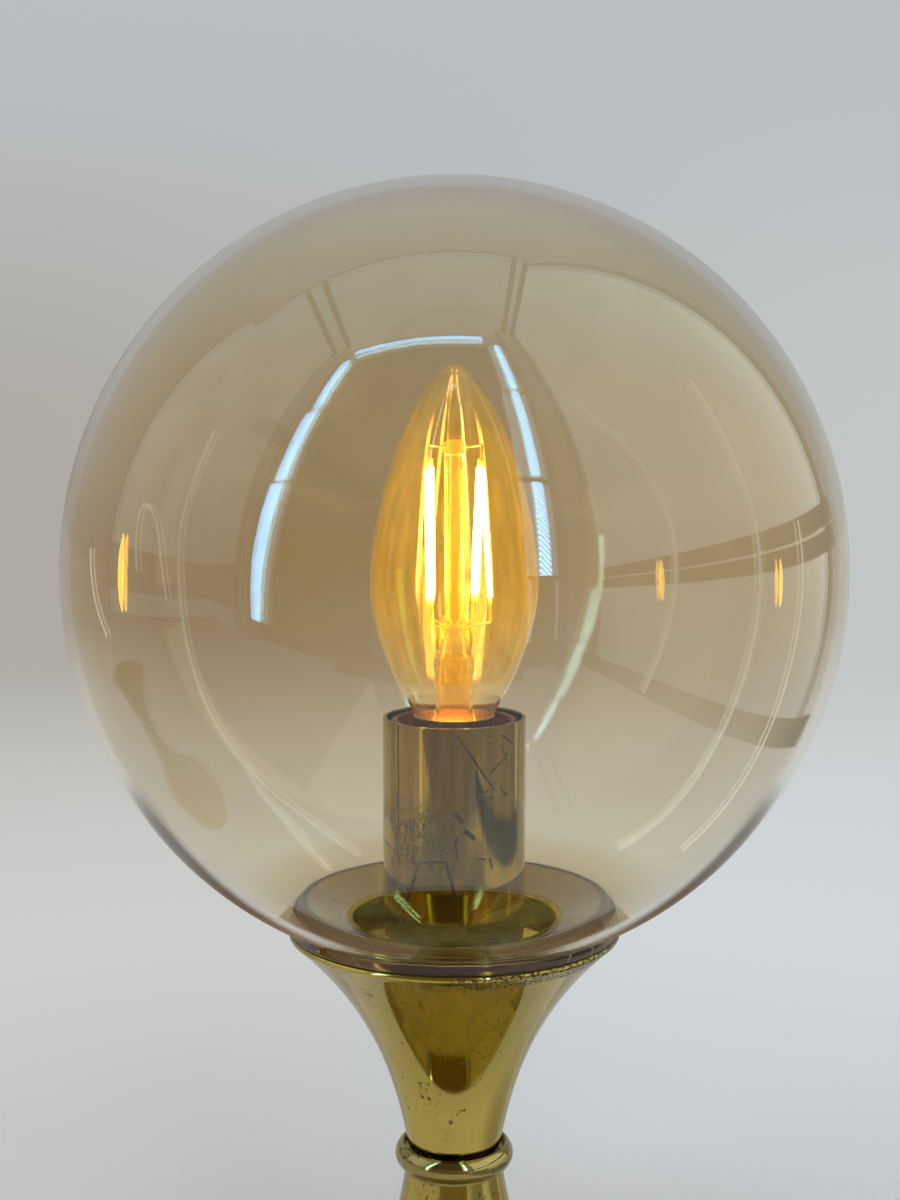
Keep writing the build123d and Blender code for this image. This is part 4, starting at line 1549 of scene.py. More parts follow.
@dataclass
class CandleBulb(SubAssembly):
    """The clear candle bulb: envelope, mount, four light strips, wires and screw cap."""

    widest_r: float = 17.5
    widest: float = 204.0
    tip: float = 250.7
    wall: float = 0.6
    neck_r: float = 8.1
    neck_low: float = 173.4
    cap_top: float = 177.3
    belly: tuple[Point, ...] = ((10.0, 180.6), (14.1, 189.0))
    flame: tuple[Point, ...] = ((16.2, 216.6), (11.6, 234.0), (5.0, 246.8))
    press_low: float = 190.0
    press_top: float = 198.0
    bead_z: float = 233.0
    strip_top: float = 230.3
    strip_low: float = 200.8
    strip_top_r: float = 7.3
    strip_low_r: float = 7.6
    top_angles: tuple[float, ...] = (40.0, 135.0, 225.0, 320.0)
    low_angles: tuple[float, ...] = (55.0, 130.0, 230.0, 350.0)
    pitch: float = 2.82
    turns: int = 5
    thread_low: float = 155.6

    def face(self, inset: float) -> Outline:
        """One face of the envelope, from the neck to the tip.

        Args:
            inset: Its distance inside the outer face.

        Returns:
            The face as an outline.
        """
        neck_r = self.neck_r - inset
        belly, flame = ([(r - inset, z) for r, z in side] for side in (self.belly, self.flame))
        widest = (self.widest_r - inset, self.widest)
        lower = Outline.through([(neck_r, self.cap_top - 0.3), *belly, widest], (0.25, 1.0), (0.0, 1.0), 26)
        upper = Outline.through([widest, *flame, (0.0, self.tip - inset)], (0.0, 1.0), (-1.0, 0.0), 44)
        return Outline.straight((neck_r, self.neck_low)) + lower + Outline(upper.points[1:])

    def envelope(self) -> Object:
        """The thin blown envelope."""
        piece = Bench.turn("candle_envelope", self.face(0.0).back() + self.face(self.wall), 128, closed=False)
        return Bench.shade(piece, 60.0)

    def stem(self) -> Object:
        """The glass mount: flared foot, press, rod and the flat bead on its end.

        Returns:
            The piece.
        """
        foot_r, tube_r, rod_r, thick = self.neck_r - self.wall, 3.6, 1.9, 0.7
        low, upright, inwards = self.neck_low + 1.0, (0.0, 1.0), (-1.0, 0.2)
        flare = Outline.through([(foot_r, low), (5.0, low + 0.9), (4.2, low + 2.6), (4.0, low + 8.0),
                                 (tube_r, self.press_low)], inwards, upright, 24)
        flare_in = Outline.through([(foot_r, low - thick), (4.6, low + 0.2), (3.5, low + 2.4),
                                    (3.3, low + 8.0), (tube_r - thick, self.press_low)],
                                   inwards, upright, 18)
        waist = Outline.through([(tube_r, self.press_low), (3.2, self.press_low + 5.0),
                                 (rod_r, self.press_top + 0.6)], upright, upright, 10)
        bead = Outline.arc((0.0, self.bead_z), (2.8, 1.68), -42.0, 90.0, 14)
        inner_top = Outline.straight((0.0, self.press_low + 0.3))
        outline = inner_top + flare_in.back() + flare + Outline(waist.points[1:]) + bead
        piece = Bench.turn("candle_stem", outline, 64, closed=False)
        self.press(piece)
        return Bench.shade(piece, 60.0)

    def press(self, piece: Object) -> None:
        """Pinch the mount, as tongs do to soft glass: thinner from front to back, wider sideways.

        Args:
            piece: The mount.
        """
        middle, reach, thinner, wider = self.press_top - 2.0, 4.4, 0.45, 0.22
        for vertex in piece.data.vertices:
            share = max(1.0 - abs(vertex.co.z / MM - middle) / reach, 0.0)
            vertex.co.y *= 1.0 - thinner * share
            vertex.co.x *= 1.0 + wider * share

    def strip_ends(self) -> list[tuple[Vector, Vector]]:
        """Top and bottom of each light strip, in metres.

        Returns:
            The two ends of each strip.
        """
        ends = []
        for angles, r, z in ((self.top_angles, self.strip_top_r, self.strip_top),
                             (self.low_angles, self.strip_low_r, self.strip_low)):
            turns = [radians(angle) for angle in angles]
            ends.append([Vector((r * cos(turn), r * sin(turn), z)) * MM for turn in turns])
        return list(zip(*ends))

    def one_strip(self) -> Object:
        """One light strip, upright at the origin: a coated bar with a metal tab at each end.

        Returns:
            The piece.
        """
        wide, thick, coat, length = 2.0, 1.0, 1.3, self.strip_top - self.strip_low
        Bench.clear()
        bpy.ops.mesh.primitive_cube_add(size=1.0, location=(0, 0, length / 2 * MM))
        bar = bpy.context.object
        bar.scale = (wide * MM, thick * MM, (length - 2 * coat) * MM)
        Bench.settle(bar)
        Bench.soften(bar, 0.4, segments=4)
        bpy.ops.mesh.primitive_cube_add(size=1.0, location=(0, 0, coat / 2 * MM))
        tab = bpy.context.object
        tab.scale = (wide * 0.75 * MM, thick * 0.4 * MM, coat * 1.5 * MM)
        Bench.settle(tab)
        Bench.soften(tab, 0.08)
        other = Bench.copy(tab, "tab", Matrix.Translation((0, 0, (length - coat) * MM)))
        bar.data.materials.append(Stock.STRIPS.material())
        for metal in (tab, other):
            metal.data.materials.append(Stock.NICKEL.material())
        return Bench.shade(Bench.join([bar, tab, other], "strip"))

    def strips(self) -> Object:
        """The four light strips, each leaning between its wires.

        Returns:
            The piece.
        """
        model = self.one_strip()
        placed = []
        for number, (top, bottom) in enumerate(self.strip_ends()):
            up = (top - bottom).normalized()
            side = up.cross(Vector((bottom.x, bottom.y, 0.0))).normalized()
            out = side.cross(up)
            turn = Matrix((side, out, up)).transposed().to_4x4()
            placed.append(Bench.copy(model, f"strip_{number}", Matrix.Translation(bottom) @ turn))
        Bench.pick(model)
        bpy.ops.object.delete()
        return Bench.join(placed, "candle_strips")

    def wires(self) -> Object:
        """Support wires: bead to the top of each strip, and press to the bottom of each strip.

        Returns:
            The piece.
        """
        thick, bead_r = 0.24, 2.2
        made = []
        for number, (top, bottom) in enumerate(self.strip_ends()):
            out = Vector((top.x, top.y, 0.0)).normalized()
            bead_side = out * bead_r * MM + Vector((0, 0, self.bead_z * MM))
            over = Vector((top.x, top.y, (self.bead_z + 0.5) * MM))
            press_side = Vector((bottom.x * 0.32, bottom.y * 0.12, (self.press_top - 2.2) * MM))
            knee = Vector((bottom.x, bottom.y, (self.press_top - 1.0) * MM))
            for end, start, bend, tip in (("top", bead_side, over, top), ("low", press_side, knee, bottom)):
                line = [start, (start + bend) / 2, bend, bend, (bend + tip) / 2, tip]
                made.append(Bench.wire(f"wire_{end}_{number}", line, thick))
        for side in (-1.0, 1.0):
            low = self.press_top - 4.0
            loop = [Vector((side * (1.2 + 0.9 * sin(t * 1.7)), 0.5 * side * cos(t), low + t)) * MM
                    for t in (0.0, 1.0, 2.0, 3.0, 4.0)]
            made.append(Bench.wire(f"wire_loop_{side:.0f}", loop, thick))
        return Bench.shade(Bench.join(made, "candle_wires"))

    def cap(self) -> Object:
        """The rolled screw cap with its flared skirt.

        Returns:
            The piece.
        """
        root, crest, skirt, wall, tip_r, per_turn = 6.2, 6.93, 8.5, 0.3, 4.6, 8
        middle, swing = (root + crest) / 2, (crest - root) / 2
        waves = [(middle - swing * cos(tau * i / per_turn), self.thread_low + i * self.pitch / per_turn)
                 for i in range(self.turns * per_turn + 1)]
        skirt_low, inner_r = self.thread_low + self.turns * self.pitch, self.neck_r + 0.05
        top = Outline.straight((root, skirt_low + 0.6), (skirt - 0.2, skirt_low + 3.0), (skirt, self.cap_top))
        inner_top = Outline.straight((inner_r, self.cap_top), (inner_r, skirt_low + 3.3),
                                     (root - wall, skirt_low + 0.6))
        inner = Outline(tuple((r - wall, z) for r, z in waves)).back()
        low = Outline.straight((tip_r, self.thread_low - 0.3), (tip_r, self.thread_low - 0.6))
        piece = Bench.turn("candle_cap", low + Outline(tuple(waves)) + top + inner_top + inner, 96)
        return Bench.shade(piece, 50.0)

    def build(self) -> None:
        """Make and dress every piece."""
        self.hand_over(self.envelope(), [Stock.BULB], "clear_glass", "bulb_envelope")
        self.hand_over(self.stem(), [Stock.STEM], "clear_glass", "bulb_stem")
        self.hand_over(self.strips(), [Stock.STRIPS, Stock.NICKEL], "phosphor", "bulb_filaments")
        self.hand_over(self.wires(), [Stock.WIRE], "nickel", "bulb_wires")
        self.hand_over(self.cap(), [Stock.NICKEL], "nickel", "bulb_cap")
        self.refinish(Stock.BLACK_GLASS, "bulb_insulator")
        self.refinish(Stock.SOLDER, "bulb_contact")
        self.refinish(Stock.BOARD, "bulb_driver")


# ---- studio ----
class Mirror(Enum):
    """Which reflections show a piece of the booth."""

    ANY = "any"
    GLASS = "the globe's own faces"
    INSIDE = "what stands inside the globe"
    OUTSIDE = "the brass below the globe"

    def mask(self, desk: NodeDesk) -> Socket:
        """Lay the nodes that tell such a reflection from any other ray.

        Args:
            desk: Where they are laid.

        Returns:
            1 for such a reflection and 0 for the rest.
        """
        rays = desk.put("LightPath").outputs
        turned, crossed, sharp = rays["Glossy Depth"], rays["Transmission Depth"], rays["Is Singular Ray"]
        mirrored = desk.math("GREATER_THAN", turned, 0.5)
        if self is Mirror.INSIDE:
            return desk.product(mirrored, desk.math("GREATER_THAN", crossed, 2.5))
        if self is Mirror.OUTSIDE:
            once, dull = desk.math("LESS_THAN", turned, 1.5), desk.minus(1.0, sharp)
            return desk.product(mirrored, once, dull, desk.math("LESS_THAN", crossed, 0.5))
        if self is Mirror.GLASS:
            return desk.product(mirrored, sharp, desk.math("LESS_THAN", crossed, 2.5))
        return mirrored


@dataclass(frozen=True)
class BoothPaint(Finish):
    """A painted reflection: a lit or dark surface of the booth, which only reflections show.

    A ray that has not been reflected yet goes straight on, so the lamp stands in front of a plain pale room.
    The light is even, or changes with height from low_light to light.
    """

    light: float
    colour: Triple = (0.86, 0.96, 1.0)
    low_light: Optional[float] = None
    low_z: float = 0.0
    high_z: float = 1.0
    dots: float = 0.0
    fade: Optional[Point] = None
    shown: Mirror = Mirror.ANY

    def lay(self, desk: NodeDesk) -> Socket:
        """Lay the nodes of the finish.

        Args:
            desk: Where they are laid.

        Returns:
            The shader.
        """
        place = desk.place()
        x, _, z = desk.split(place)
        low_light = self.light if self.low_light is None else self.low_light
        strength = desk.product(desk.spread(z, self.low_z, self.high_z, low_light, self.light),
                                desk.spread(desk.noise(place, 3.0), 0.25, 0.75, 0.88, 1.08))
        if self.dots > 0.0:
            run = desk.math("PINGPONG", desk.total(x, z), self.dots / 2)
            strength = desk.product(strength, desk.spread(run, 0.0, self.dots / 2, 0.3, 1.5))
        seen = self.shown.mask(desk)
        if self.fade is not None:
            seen = desk.product(seen, desk.spread(x, *self.fade))
        return desk.glow(self.colour, strength, seen)


@dataclass(frozen=True)
class GroundShadePaint(Finish):
    """Painted shade on the ground behind the lamp, darkest beside the middle, which only the glass mirrors.
    """

    middle: Triple = (0.30, 0.20, 0.13)
    beside: Triple = (0.14, 0.10, 0.065)
    outside: Triple = (0.20, 0.195, 0.19)

    def lay(self, desk: NodeDesk) -> Socket:
        """Lay the nodes of the finish.

        Args:
            desk: Where they are laid.

        Returns:
            The shader.
        """
        x, y, _ = desk.split(desk.place())
        away = desk.math("ABSOLUTE", x)
        colour = desk.blend(desk.spread(away, 0.06, 0.11), self.middle, self.beside)
        colour = desk.blend(desk.spread(away, 0.12, 0.19), colour, self.outside)
        reach = desk.product(desk.spread(away, 0.30, 0.17), desk.spread(y, 0.15, 0.24),
                             desk.spread(y, 0.46, 0.34))
        return desk.glow(colour, 1.0, desk.product(Mirror.GLASS.mask(desk), reach))


@dataclass
class Booth:
    """The booth round the lamp, as painted reflections: walls, ceiling, dark bars and light troughs round the
    front opening.

    Sizes are in metres, from the middle of the foot.
    """

    right: float = 0.41
    left: float = -1.4
    front: float = -0.55
    back: float = 0.32
    back_left: float = 0.47
    top: float = 1.9
    thin: float = 0.004
    post_left: float = -0.86
    trough_high: float = 1.50
    twin_at: Point = (-0.245, 0.015)

    # Every paint here is a painted reflection; SHADE, SHADE_BEHIND, GROUND and GROUND_INSIDE are painted
    # shade, NEAR is painted warm light on the ground, GLINT is painted glints of the lit bulb.
    WALL = BoothPaint("Booth_wall", 1.05, low_light=0.75, low_z=0.05, high_z=0.6)
    SIDE = BoothPaint("Booth_side", 1.45, low_light=0.8, low_z=0.03, high_z=0.25)
    CEILING = BoothPaint("Booth_ceiling", 1.1)
    BAR = BoothPaint("Booth_bar", 0.3)
    BAND = BoothPaint("Booth_band", 0.45)
    RAIL = BoothPaint("Booth_rail", 0.10, (0.8, 1.0, 1.0), shown=Mirror.GLASS)
    RAIL_INSIDE = BoothPaint("Booth_rail_inside", 0.05, (0.8, 1.0, 1.0), shown=Mirror.INSIDE)
    DARK = BoothPaint("Booth_opening", 0.14, (1.0, 0.80, 0.42), low_light=0.28, low_z=0.08, high_z=0.5)
    SIDE_INSIDE = BoothPaint("Booth_side_inside", 0.33, (1.0, 0.97, 0.88), low_light=0.80, low_z=0.03,
                             high_z=0.055, shown=Mirror.INSIDE)
    GROUND_INSIDE = BoothPaint("Booth_ground_inside", 0.26, (1.0, 0.95, 0.85), shown=Mirror.INSIDE)
    CARD = BoothPaint("Booth_card", 1.45, (1.0, 0.97, 0.85), low_light=0.75, low_z=0.070, high_z=0.092,
                      shown=Mirror.INSIDE)
    CARD_LOW = BoothPaint("Booth_card_low", 0.80, (1.0, 0.96, 0.76), shown=Mirror.INSIDE)
    TWIN = BoothPaint("Booth_twin", 0.30, (1.0, 0.74, 0.22), low_light=0.42, high_z=0.08, shown=Mirror.GLASS)
    SHADE = BoothPaint("Booth_shade", 0.34, (1.0, 0.97, 0.85), fade=(0.085, 0.15), shown=Mirror.OUTSIDE)
    SHADE_BEHIND = BoothPaint("Booth_shade_behind", 0.48, (0.97, 0.97, 1.0), shown=Mirror.OUTSIDE)
    TROUGH = BoothPaint("Booth_trough", 1.9, (0.74, 0.88, 1.0), low_light=1.7)
    LEDS = BoothPaint("Booth_leds", 18.0, (0.30, 0.63, 1.0), dots=0.014)
    EDGE = BoothPaint("Booth_edge", 2.0, (1.0, 0.98, 0.88), shown=Mirror.GLASS)
    GROUND = GroundShadePaint("Booth_ground")
    NEAR = BoothPaint("Booth_ground_near", 0.24, (1.0, 0.72, 0.45), shown=Mirror.GLASS)
    GLINT = BoothPaint("Booth_glint", 13.0, (1.0, 0.52, 0.05), shown=Mirror.GLASS)

    @staticmethod
    def put_up(piece: Object, paint: Finish) -> None:
        """Paint a finished piece of the booth and hide it from everything but reflections.

        Args:
            piece: The piece.
            paint: Its surface.
        """
        piece.data.materials.append(paint.material())
        piece.visible_camera = piece.visible_diffuse = piece.visible_shadow = False

    def slab(self, name: str, low: Triple, high: Triple, paint: Finish, lean: float = 0.0) -> None:
        """A flat or boxed piece of the booth.

        Args:
            name: Its name.
            low: Its lowest corner.
            high: Its highest corner.
            paint: Its surface.
            lean: How far it leans to the right, in degrees.
        """
        first, last = Vector(low), Vector(high)
        Bench.clear()
        bpy.ops.mesh.primitive_cube_add(size=1.0, location=(first + last) / 2)
        piece = bpy.context.object
        piece.scale = last - first
        piece.rotation_euler.y = radians(lean)
        piece.name = name
        self.put_up(Bench.settle(piece), paint)

    def slabs(self, paint: Finish, *rows: tuple[str, Triple, Triple]) -> None:
        """Several slabs with one surface, each a name and its lowest and highest corners."""
        for name, low, high in rows:
            self.slab(name, low, high, paint)

    def shell(self) -> None:
        """Walls and ceiling, each a thin slab."""
        left, right, front, top, thin = self.left, self.right, self.front, self.top, self.thin
        header = self.trough_high + 0.26
        self.slabs(self.CEILING,
                   ("booth_ceiling", (left, front, top), (right, self.back, top + thin)),
                   ("booth_header", (self.post_left, front - thin, header), (right, front, top)))
        self.slabs(self.SIDE, ("booth_right", (right, front, 0.0), (right + thin, 0.268, top)))
        self.slabs(self.WALL,
                   ("booth_left", (left - thin, front, 0.0), (left, self.back_left, top)),
                   ("booth_front_left", (left, front - thin, 0.0), (self.post_left, front, top)))

    def bars(self) -> None:
        """Painted dark lines in reflections: dark corners, ceiling bars and posts, the rails on the right and
        the band on the left.
        """
        left, right, front, back, top, wide = self.left, self.right, self.front, self.back, self.top, 0.018
        self.slabs(self.BAR,
                   ("bar_back", (left, back, top - wide), (right, back + wide, top)),
                   ("bar_back_right", (right - 0.006, 0.246, 0.0), (right, 0.282, top)),
                   ("bar_back_left", (left, self.back_left, 0.0), (left + wide, self.back_left + 0.02, top)))
        for name, start, end in (("1", -0.91, -0.875), ("2", -0.785, -0.75), ("3", 0.315, 0.345),
                                 ("4", 0.378, 0.408)):
            self.slab(f"bar_ceiling_{name}", (start, front, top - wide), (end, back, top), self.BAR)
        for name, start, end in (("left_1", -0.90, -0.865), ("left_2", -0.775, -0.745),
                                 ("right_1", 0.265, 0.285), ("right_2", 0.375, 0.40)):
            self.slab(f"post_{name}", (start, front, 0.0), (end, front + wide, top), self.BAR)
        for name, low, high in (("rail_high", 0.208, 0.232), ("rail_high_2", 0.236, 0.262)):
            self.slab(name, (right - 0.01, front, low), (right - 0.004, back, high), self.BAR)
        low, high = 0.10, 0.29
        self.slabs(self.BAND,
                   ("rail_left", (left, front, low), (left + self.thin, self.back_left, high)),
                   ("rail_front_left", (left, front, low), (self.post_left, front + self.thin, high)))

    def screens(self) -> None:
        """Upright panels of painted light and painted shade, each shown in one kind of reflection only."""
        right, front = self.right, self.front
        self.slabs(self.RAIL, ("rail_low", (right - 0.055, front, 0.0), (right - 0.05, self.back, 0.038)))
        self.slabs(self.RAIL_INSIDE, ("rail_inside", (0.100, -0.158, 0.1212), (0.101, 0.047, 0.1345)))
        self.slabs(self.SIDE_INSIDE,
                   ("side_inside", (right - 0.012, front, 0.0), (right - 0.010, 0.16, 0.75)))
        self.slabs(self.GROUND_INSIDE,
                   ("front_inside", (0.27, front + 0.002, 0.0), (right, front + 0.004, 0.30)))
        self.slabs(self.CARD, ("card_inside", (-0.259, -0.193, 0.068), (-0.241, -0.175, 0.25)))
        self.slabs(self.SHADE, ("wall_right_low", (right - 0.018, -0.50, 0.0), (right - 0.016, -0.18, 0.10)))

    def ground(self) -> None:
        """Thin sheets of painted shade and painted warm light on the ground, in three layers, each shown in
        one kind of reflection only.
        """
        thick = 0.0004
        rows = (
            ("ground_behind", self.GROUND, 0, (-0.32, 0.13), (0.32, 0.48)),
            ("ground_near", self.NEAR, 1, (-0.10, 0.052), (0.10, 0.128)),
            ("ground_right", self.SHADE, 1, (0.085, -0.42), (self.right - 0.005, 0.11)),
            ("ground_shade", self.SHADE_BEHIND, 1, (-0.25, 0.12), (0.25, 0.40)),
            ("ground_inside", self.GROUND_INSIDE, 2, (-0.46, -0.47), (0.36, -0.08)),
            ("card_low", self.CARD_LOW, 2, (-1.10, -0.60), (-0.462, 0.32)))
        for name, paint, layer, low, high in rows:
            under = thick * (1 + 2 * layer)
            self.slab(name, (*low, under), (*high, under + thick), paint)

    def opening(self) -> None:
        """The dark opening at the front, a painted reflection, low enough to hide the table's front edge."""
        deep, near = self.front - 0.03, -0.496
        self.slabs(self.DARK,
                   ("opening", (-0.76, deep - self.thin, 0.0), (0.28, deep, self.trough_high + 0.1)),
                   ("opening_low", (-0.30, near - self.thin, 0.0), (0.155, near, 0.30)))

    def troughs(self) -> None:
        """Light troughs round the opening as painted highlights, each with its row of lamps, in pieces with
        gaps between them.

        Each row is a name, the trough's middle, half its width, half its lamps' width, its bottom, its top
        and its lean in degrees.
        """
        front, deep, high = self.front, 0.01, self.trough_high
        rows = (
            ("left_low", -0.700, 0.082, 0.042, 0.08, 0.588, 7.0),
            ("left_middle", -0.645, 0.062, 0.036, 0.600, 0.97, 3.0),
            ("left_high", -0.628, 0.048, 0.026, 1.00, high, -2.0),
            ("right_low_1", 0.186, 0.004, 0.0, 0.08, 0.235, 0.0),
            ("right_low_2", 0.266, 0.004, 0.0, 0.08, 0.235, 0.0),
            ("right_middle", 0.226, 0.050, 0.015, 0.245, 0.50, 0.0),
            ("right_high", 0.226, 0.050, 0.014, 0.525, 0.93, 0.0),
            ("right_top", 0.230, 0.046, 0.014, 0.965, high, 0.0))
        for name, middle, half, core, low, end, lean in rows:
            self.slab(f"trough_{name}", (middle - half, front - deep, low), (middle + half, front, end),
                      self.TROUGH, lean)
            if core > 0.0:
                self.slab(f"leds_{name}", (middle - core, front, low), (middle + core, front + deep, end),
                          self.LEDS, lean)
        low, end = high + 0.06, high + 0.20
        self.slab("trough_top", (-0.63, front - deep, low), (0.17, front, end), self.TROUGH)
        self.slab("leds_top", (-0.62, front, low + 0.04), (0.16, front + deep, end - 0.04), self.LEDS)

    def edges(self) -> None:
        """Painted highlights in the glass: thin bright edges of the pale panels round the lamp, each through
        points in millimetres.
        """
        rows = (
            ("edge_left", 3.7, ((-296, -93, 391), (-308, -100, 368), (-328, -102, 318), (-340, -104, 268),
                                (-342, -115, 203), (-328, -118, 116), (-296, -114, 38), (-232, -113, 13),
                                (-178, -91, 12), (-141, -82, 12), (-103, -62, 12), (-85, -51, 11))),
            ("edge_left_branch", 2.8, ((-232, -113, 13), (-190, -107, 12), (-153, -105, 12), (-112, -100, 12),
                                       (-69, -85, 12))),
            ("edge_far_left", 3.2, ((-316, 121, 217), (-320, 111, 178), (-327, 79, 140))),
            ("edge_right_near", 3.8, ((160, -213, 465), (227, -208, 411), (271, -206, 351), (295, -204, 291),
                                      (302, -211, 214), (293, -218, 160), (273, -223, 99), (256, -223, 65))),
            ("edge_right", 4.4, ((273, -35, 433), (319, -51, 358), (346, -44, 279), (352, -49, 202),
                                 (336, -55, 106), (305, -51, 34), (214, -44, 12), (160, -44, 12),
                                 (122, -51, 12))),
            ("edge_far_right", 3.2, ((336, 66, 252), (338, 66, 188), (327, 57, 113), (289, 65, 35),
                                     (196, 48, 12), (163, 36, 11))),
            ("edge_arch", 2.4, ((-352, -17, 210), (-346, 2, 271), (-344, -18, 289), (-347, -60, 265),
                                (-349, -83, 196), (-347, -87, 180))))
        for name, thick, spots in rows:
            self.put_up(Bench.wire(name, [Vector(spot) * MM for spot in spots], thick), self.EDGE)

    def glints(self) -> None:
        """Painted reflections of the lit bulb: three small warm glows that only the glass shows."""
        beside_right = self.right - 0.01
        for name, middle, size in (("glint_left", (self.left + 0.02, 0.312, 0.175), (0.004, 0.036, 0.165)),
                                   ("glint_right", (beside_right, 0.014, 0.192), (0.002, 0.006, 0.030)),
                                   ("glint_front", (beside_right, -0.305, 0.218), (0.002, 0.008, 0.040))):
            Bench.clear()
            bpy.ops.mesh.primitive_uv_sphere_add(segments=24, ring_count=12, radius=1.0, location=middle)
            piece = bpy.context.object
            piece.scale = size
            piece.name = name
            self.put_up(Bench.settle(piece), self.GLINT)

    def twin(self) -> None:
        """A painted reflection of a second lamp's base, which stands to the left and shows only as the glass
        mirrors it.
        """
        foot, trumpet, off = Foot(body="", edge_r=56.0), Trumpet(body=""), 0.5
        outline = Outline.straight((off, off), (foot.edge_r, off), (foot.edge_r, foot.edge_top))
        outline += foot.flare().outline(foot.edge_top + off, foot.top, 0.0, 20)
        outline += Outline.straight((12.6, 82.4), (trumpet.neck_r, 85.0))
        outline += trumpet.flare().outline(86.0, trumpet.rim - trumpet.hem_tall, 0.0, 16)
        piece = Bench.turn("twin_base", outline, 48, closed=False)
        piece.location = (*self.twin_at, 0.0)
        self.put_up(Bench.shade(Bench.settle(piece)), self.TWIN)

    def build(self) -> None:
        """Build the booth."""
        for step in (self.shell, self.twin, self.bars, self.screens, self.opening, self.troughs, self.ground,
                     self.edges, self.glints):
            step()
            LOG.info("booth: %s is done", step.__name__)


@dataclass(frozen=True)
class StripLight:
    """A long slim studio light, which lights the piece softly and is not mirrored in it."""

    name: str
    middle: Triple
    wide: float
    tall: float
    radiance: float = 8.0
    colour: Triple = (0.9, 0.95, 1.0)

    def hang(self, target: Vector) -> None:
        """Make the light and aim it.

        Args:
            target: The point that it is aimed at.
        """
        Bench.clear()
        bpy.ops.object.light_add(type="AREA", location=self.middle)
        lamp = bpy.context.object
        lamp.name = self.name
        lamp.data.shape = "RECTANGLE"
        lamp.data.size, lamp.data.size_y = self.wide, self.tall
        lamp.data.energy = self.radiance * pi * self.wide * self.tall
        lamp.data.color = self.colour
        lamp.rotation_euler = (Vector(self.middle) - target).to_track_quat("Z", "Y").to_euler()
        lamp.visible_camera = lamp.visible_glossy = lamp.visible_transmission = False
        LOG.info("%s: %.1f W", self.name, lamp.data.energy)


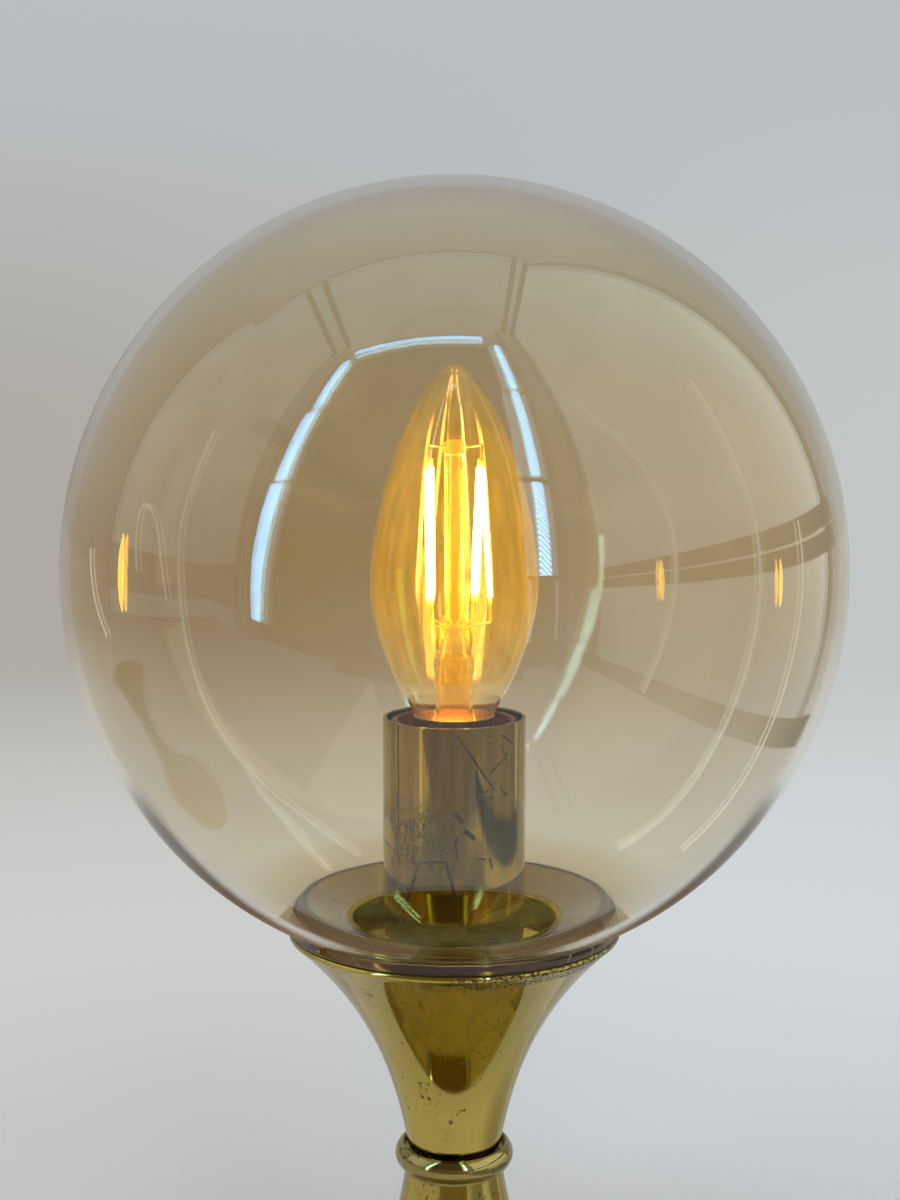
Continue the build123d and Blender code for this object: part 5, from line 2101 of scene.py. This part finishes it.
@dataclass
class Studio:
    """Pale floor and surroundings, the lights and the camera."""

    left_side: Triple = (0.425, 0.405, 0.370)
    right_side: Triple = (0.546, 0.565, 0.562)
    above: Triple = (0.490, 0.515, 0.540)
    overhead_gloss: float = 0.35
    edge_gloss: float = -0.10
    # Painted light: the floor's colour and its near glow are lighter on the right than on the left.
    floor_left: Triple = (0.72, 0.715, 0.69)
    floor_right: Triple = (0.76, 0.78, 0.79)
    near_left: Triple = (0.605, 0.62, 0.605)
    near_right: Triple = (0.64, 0.675, 0.695)
    fade_from: float = 0.10
    fade_to: float = 0.45
    turn_from: float = 0.38
    turn_to: float = 1.5
    floor_r: float = 9.0
    floor_gap: float = 0.0002
    globe_middle: float = 0.2075
    strips_middle: float = 0.2155
    camera_place: Triple = (-0.0009, -0.352, 0.2385)
    camera_pitch: float = 84.0
    lens: float = 51.06

    def side_colour(self, desk: NodeDesk, bearing: Socket) -> Socket:
        """The horizon's colour, for a bearing from -1 at the left to 1 at the right."""
        return desk.blend(desk.spread(bearing, -0.28, 0.26), self.left_side, self.right_side)

    def surroundings(self) -> None:
        """A pale world, greyer at the left and cooler overhead."""
        world = bpy.data.worlds.new("Pale_room")
        bpy.context.scene.world = world
        desk = NodeDesk.fresh(world)
        towards = desk.put("TexCoord").outputs["Generated"]
        x, _, z = desk.split(towards)
        colour = desk.blend(desk.spread(z, -0.02, 0.24), self.side_colour(desk, x), self.above)
        # Reflected rays see the world brighter overhead and a little darker lower down: a painted reflection.
        gloss = desk.spread(z, 0.6, 0.95, self.edge_gloss, self.overhead_gloss)
        lift = desk.product(Mirror.ANY.mask(desk), gloss)
        light = desk.shader("Background", {"Color": colour, "Strength": desk.total(lift, 1.0)})
        desk.put("OutputWorld", {"Surface": light})

    def floor(self) -> None:
        """A round pale floor that runs out into the horizon's colour."""
        Bench.clear()
        bpy.ops.mesh.primitive_circle_add(vertices=96, radius=self.floor_r, fill_type="TRIFAN",
                                          location=(0, 0, -self.floor_gap))
        floor = Bench.settle(bpy.context.object)
        floor.name = "floor"
        material = bpy.data.materials.new("Floor_pale")
        desk = NodeDesk.fresh(material)
        place = desk.place()
        x, y, _ = desk.split(place)
        away = desk.distance(x, y)
        fade = desk.spread(away, self.fade_from, self.fade_to)
        rays = desk.put("LightPath").outputs
        seen = desk.most(rays["Is Camera Ray"], rays["Is Glossy Ray"], rays["Is Transmission Ray"])
        bearing = desk.math("DIVIDE", x, desk.most(away, 0.01))
        # Painted light: the near glow and the floor's own colour are lighter on the right.
        close = desk.blend(desk.spread(bearing, -0.3, 0.3), self.near_left, self.near_right)
        far = desk.blend(desk.spread(away, self.turn_from, self.turn_to), close,
                         self.side_colour(desk, bearing))
        near = desk.blend(desk.spread(x, -0.12, 0.12), self.floor_left, self.floor_right)
        base = desk.shader("BsdfPrincipled", {
            "Base Color": near, "Roughness": 0.8, "Specular IOR Level": 0.2,
            "Normal": desk.bump(desk.noise(place, 900.0, 3.0), 0.02)})
        glow = desk.shader("Emission", {"Color": far, "Strength": 1.0})
        mixed = desk.shader("MixShader", {0: desk.product(fade, seen), 1: base, 2: glow})
        desk.put("OutputMaterial", {"Surface": mixed})
        floor.data.materials.append(material)

    def lamps(self) -> None:
        """Soft strip lamps: one across the top of the opening and one down each side."""
        for strip in (StripLight("lamp_top", (-0.24, -0.58, 1.62), 0.8, 0.12),
                      StripLight("lamp_left", (-0.70, -0.60, 0.80), 0.10, 1.4),
                      StripLight("lamp_right", (0.24, -0.60, 0.80), 0.08, 1.4)):
            strip.hang(Vector((0.0, 0.0, self.globe_middle)))

    def bulb_light(self) -> None:
        """A small warm lamp where the light strips are, for what they light nearby."""
        Bench.clear()
        bpy.ops.object.light_add(type="POINT", location=(0.0, 0.0, self.strips_middle))
        lamp = bpy.context.object
        lamp.name = "bulb_light"
        lamp.data.energy = 0.3
        lamp.data.color = (1.0, 0.55, 0.16)
        lamp.data.shadow_soft_size = 0.006
        lamp.visible_camera = lamp.visible_glossy = lamp.visible_transmission = False

    def camera(self) -> None:
        """The camera, close in front and a little above the globe's middle."""
        Bench.clear()
        bpy.ops.object.camera_add(location=self.camera_place, rotation=(radians(self.camera_pitch), 0, 0))
        camera = bpy.context.object
        camera.name = "camera"
        camera.data.lens = self.lens
        camera.data.sensor_width = 36.0
        camera.data.clip_start = 0.01
        bpy.context.scene.camera = camera

    def set_up(self) -> None:
        """Set the whole studio up."""
        for step in (self.surroundings, self.floor, self.lamps, self.bulb_light, self.camera):
            step()
            LOG.info("studio: %s is done", step.__name__)
        scene = bpy.context.scene
        scene.view_settings.view_transform = "Standard"
        scene.cycles.max_bounces = scene.cycles.transmission_bounces = 32
        scene.cycles.glossy_bounces = 12
        scene.cycles.transparent_max_bounces = 48


def main() -> None:
    """Build the lamp from the table upwards, then the studio."""
    logging.basicConfig(level=logging.INFO, format="%(name)s: %(message)s")
    for part in (Foot("base"), Spine("base"), Waist("base"), Trumpet("base"), Lampholder("base"),
                 Globe("globe"), CandleBulb("bulb")):
        part.build()
        LOG.info("%s is done", type(part).__name__)
    Studio().set_up()
    Booth().build()
    Bench.clear()


if __name__ == "__main__":
    main()
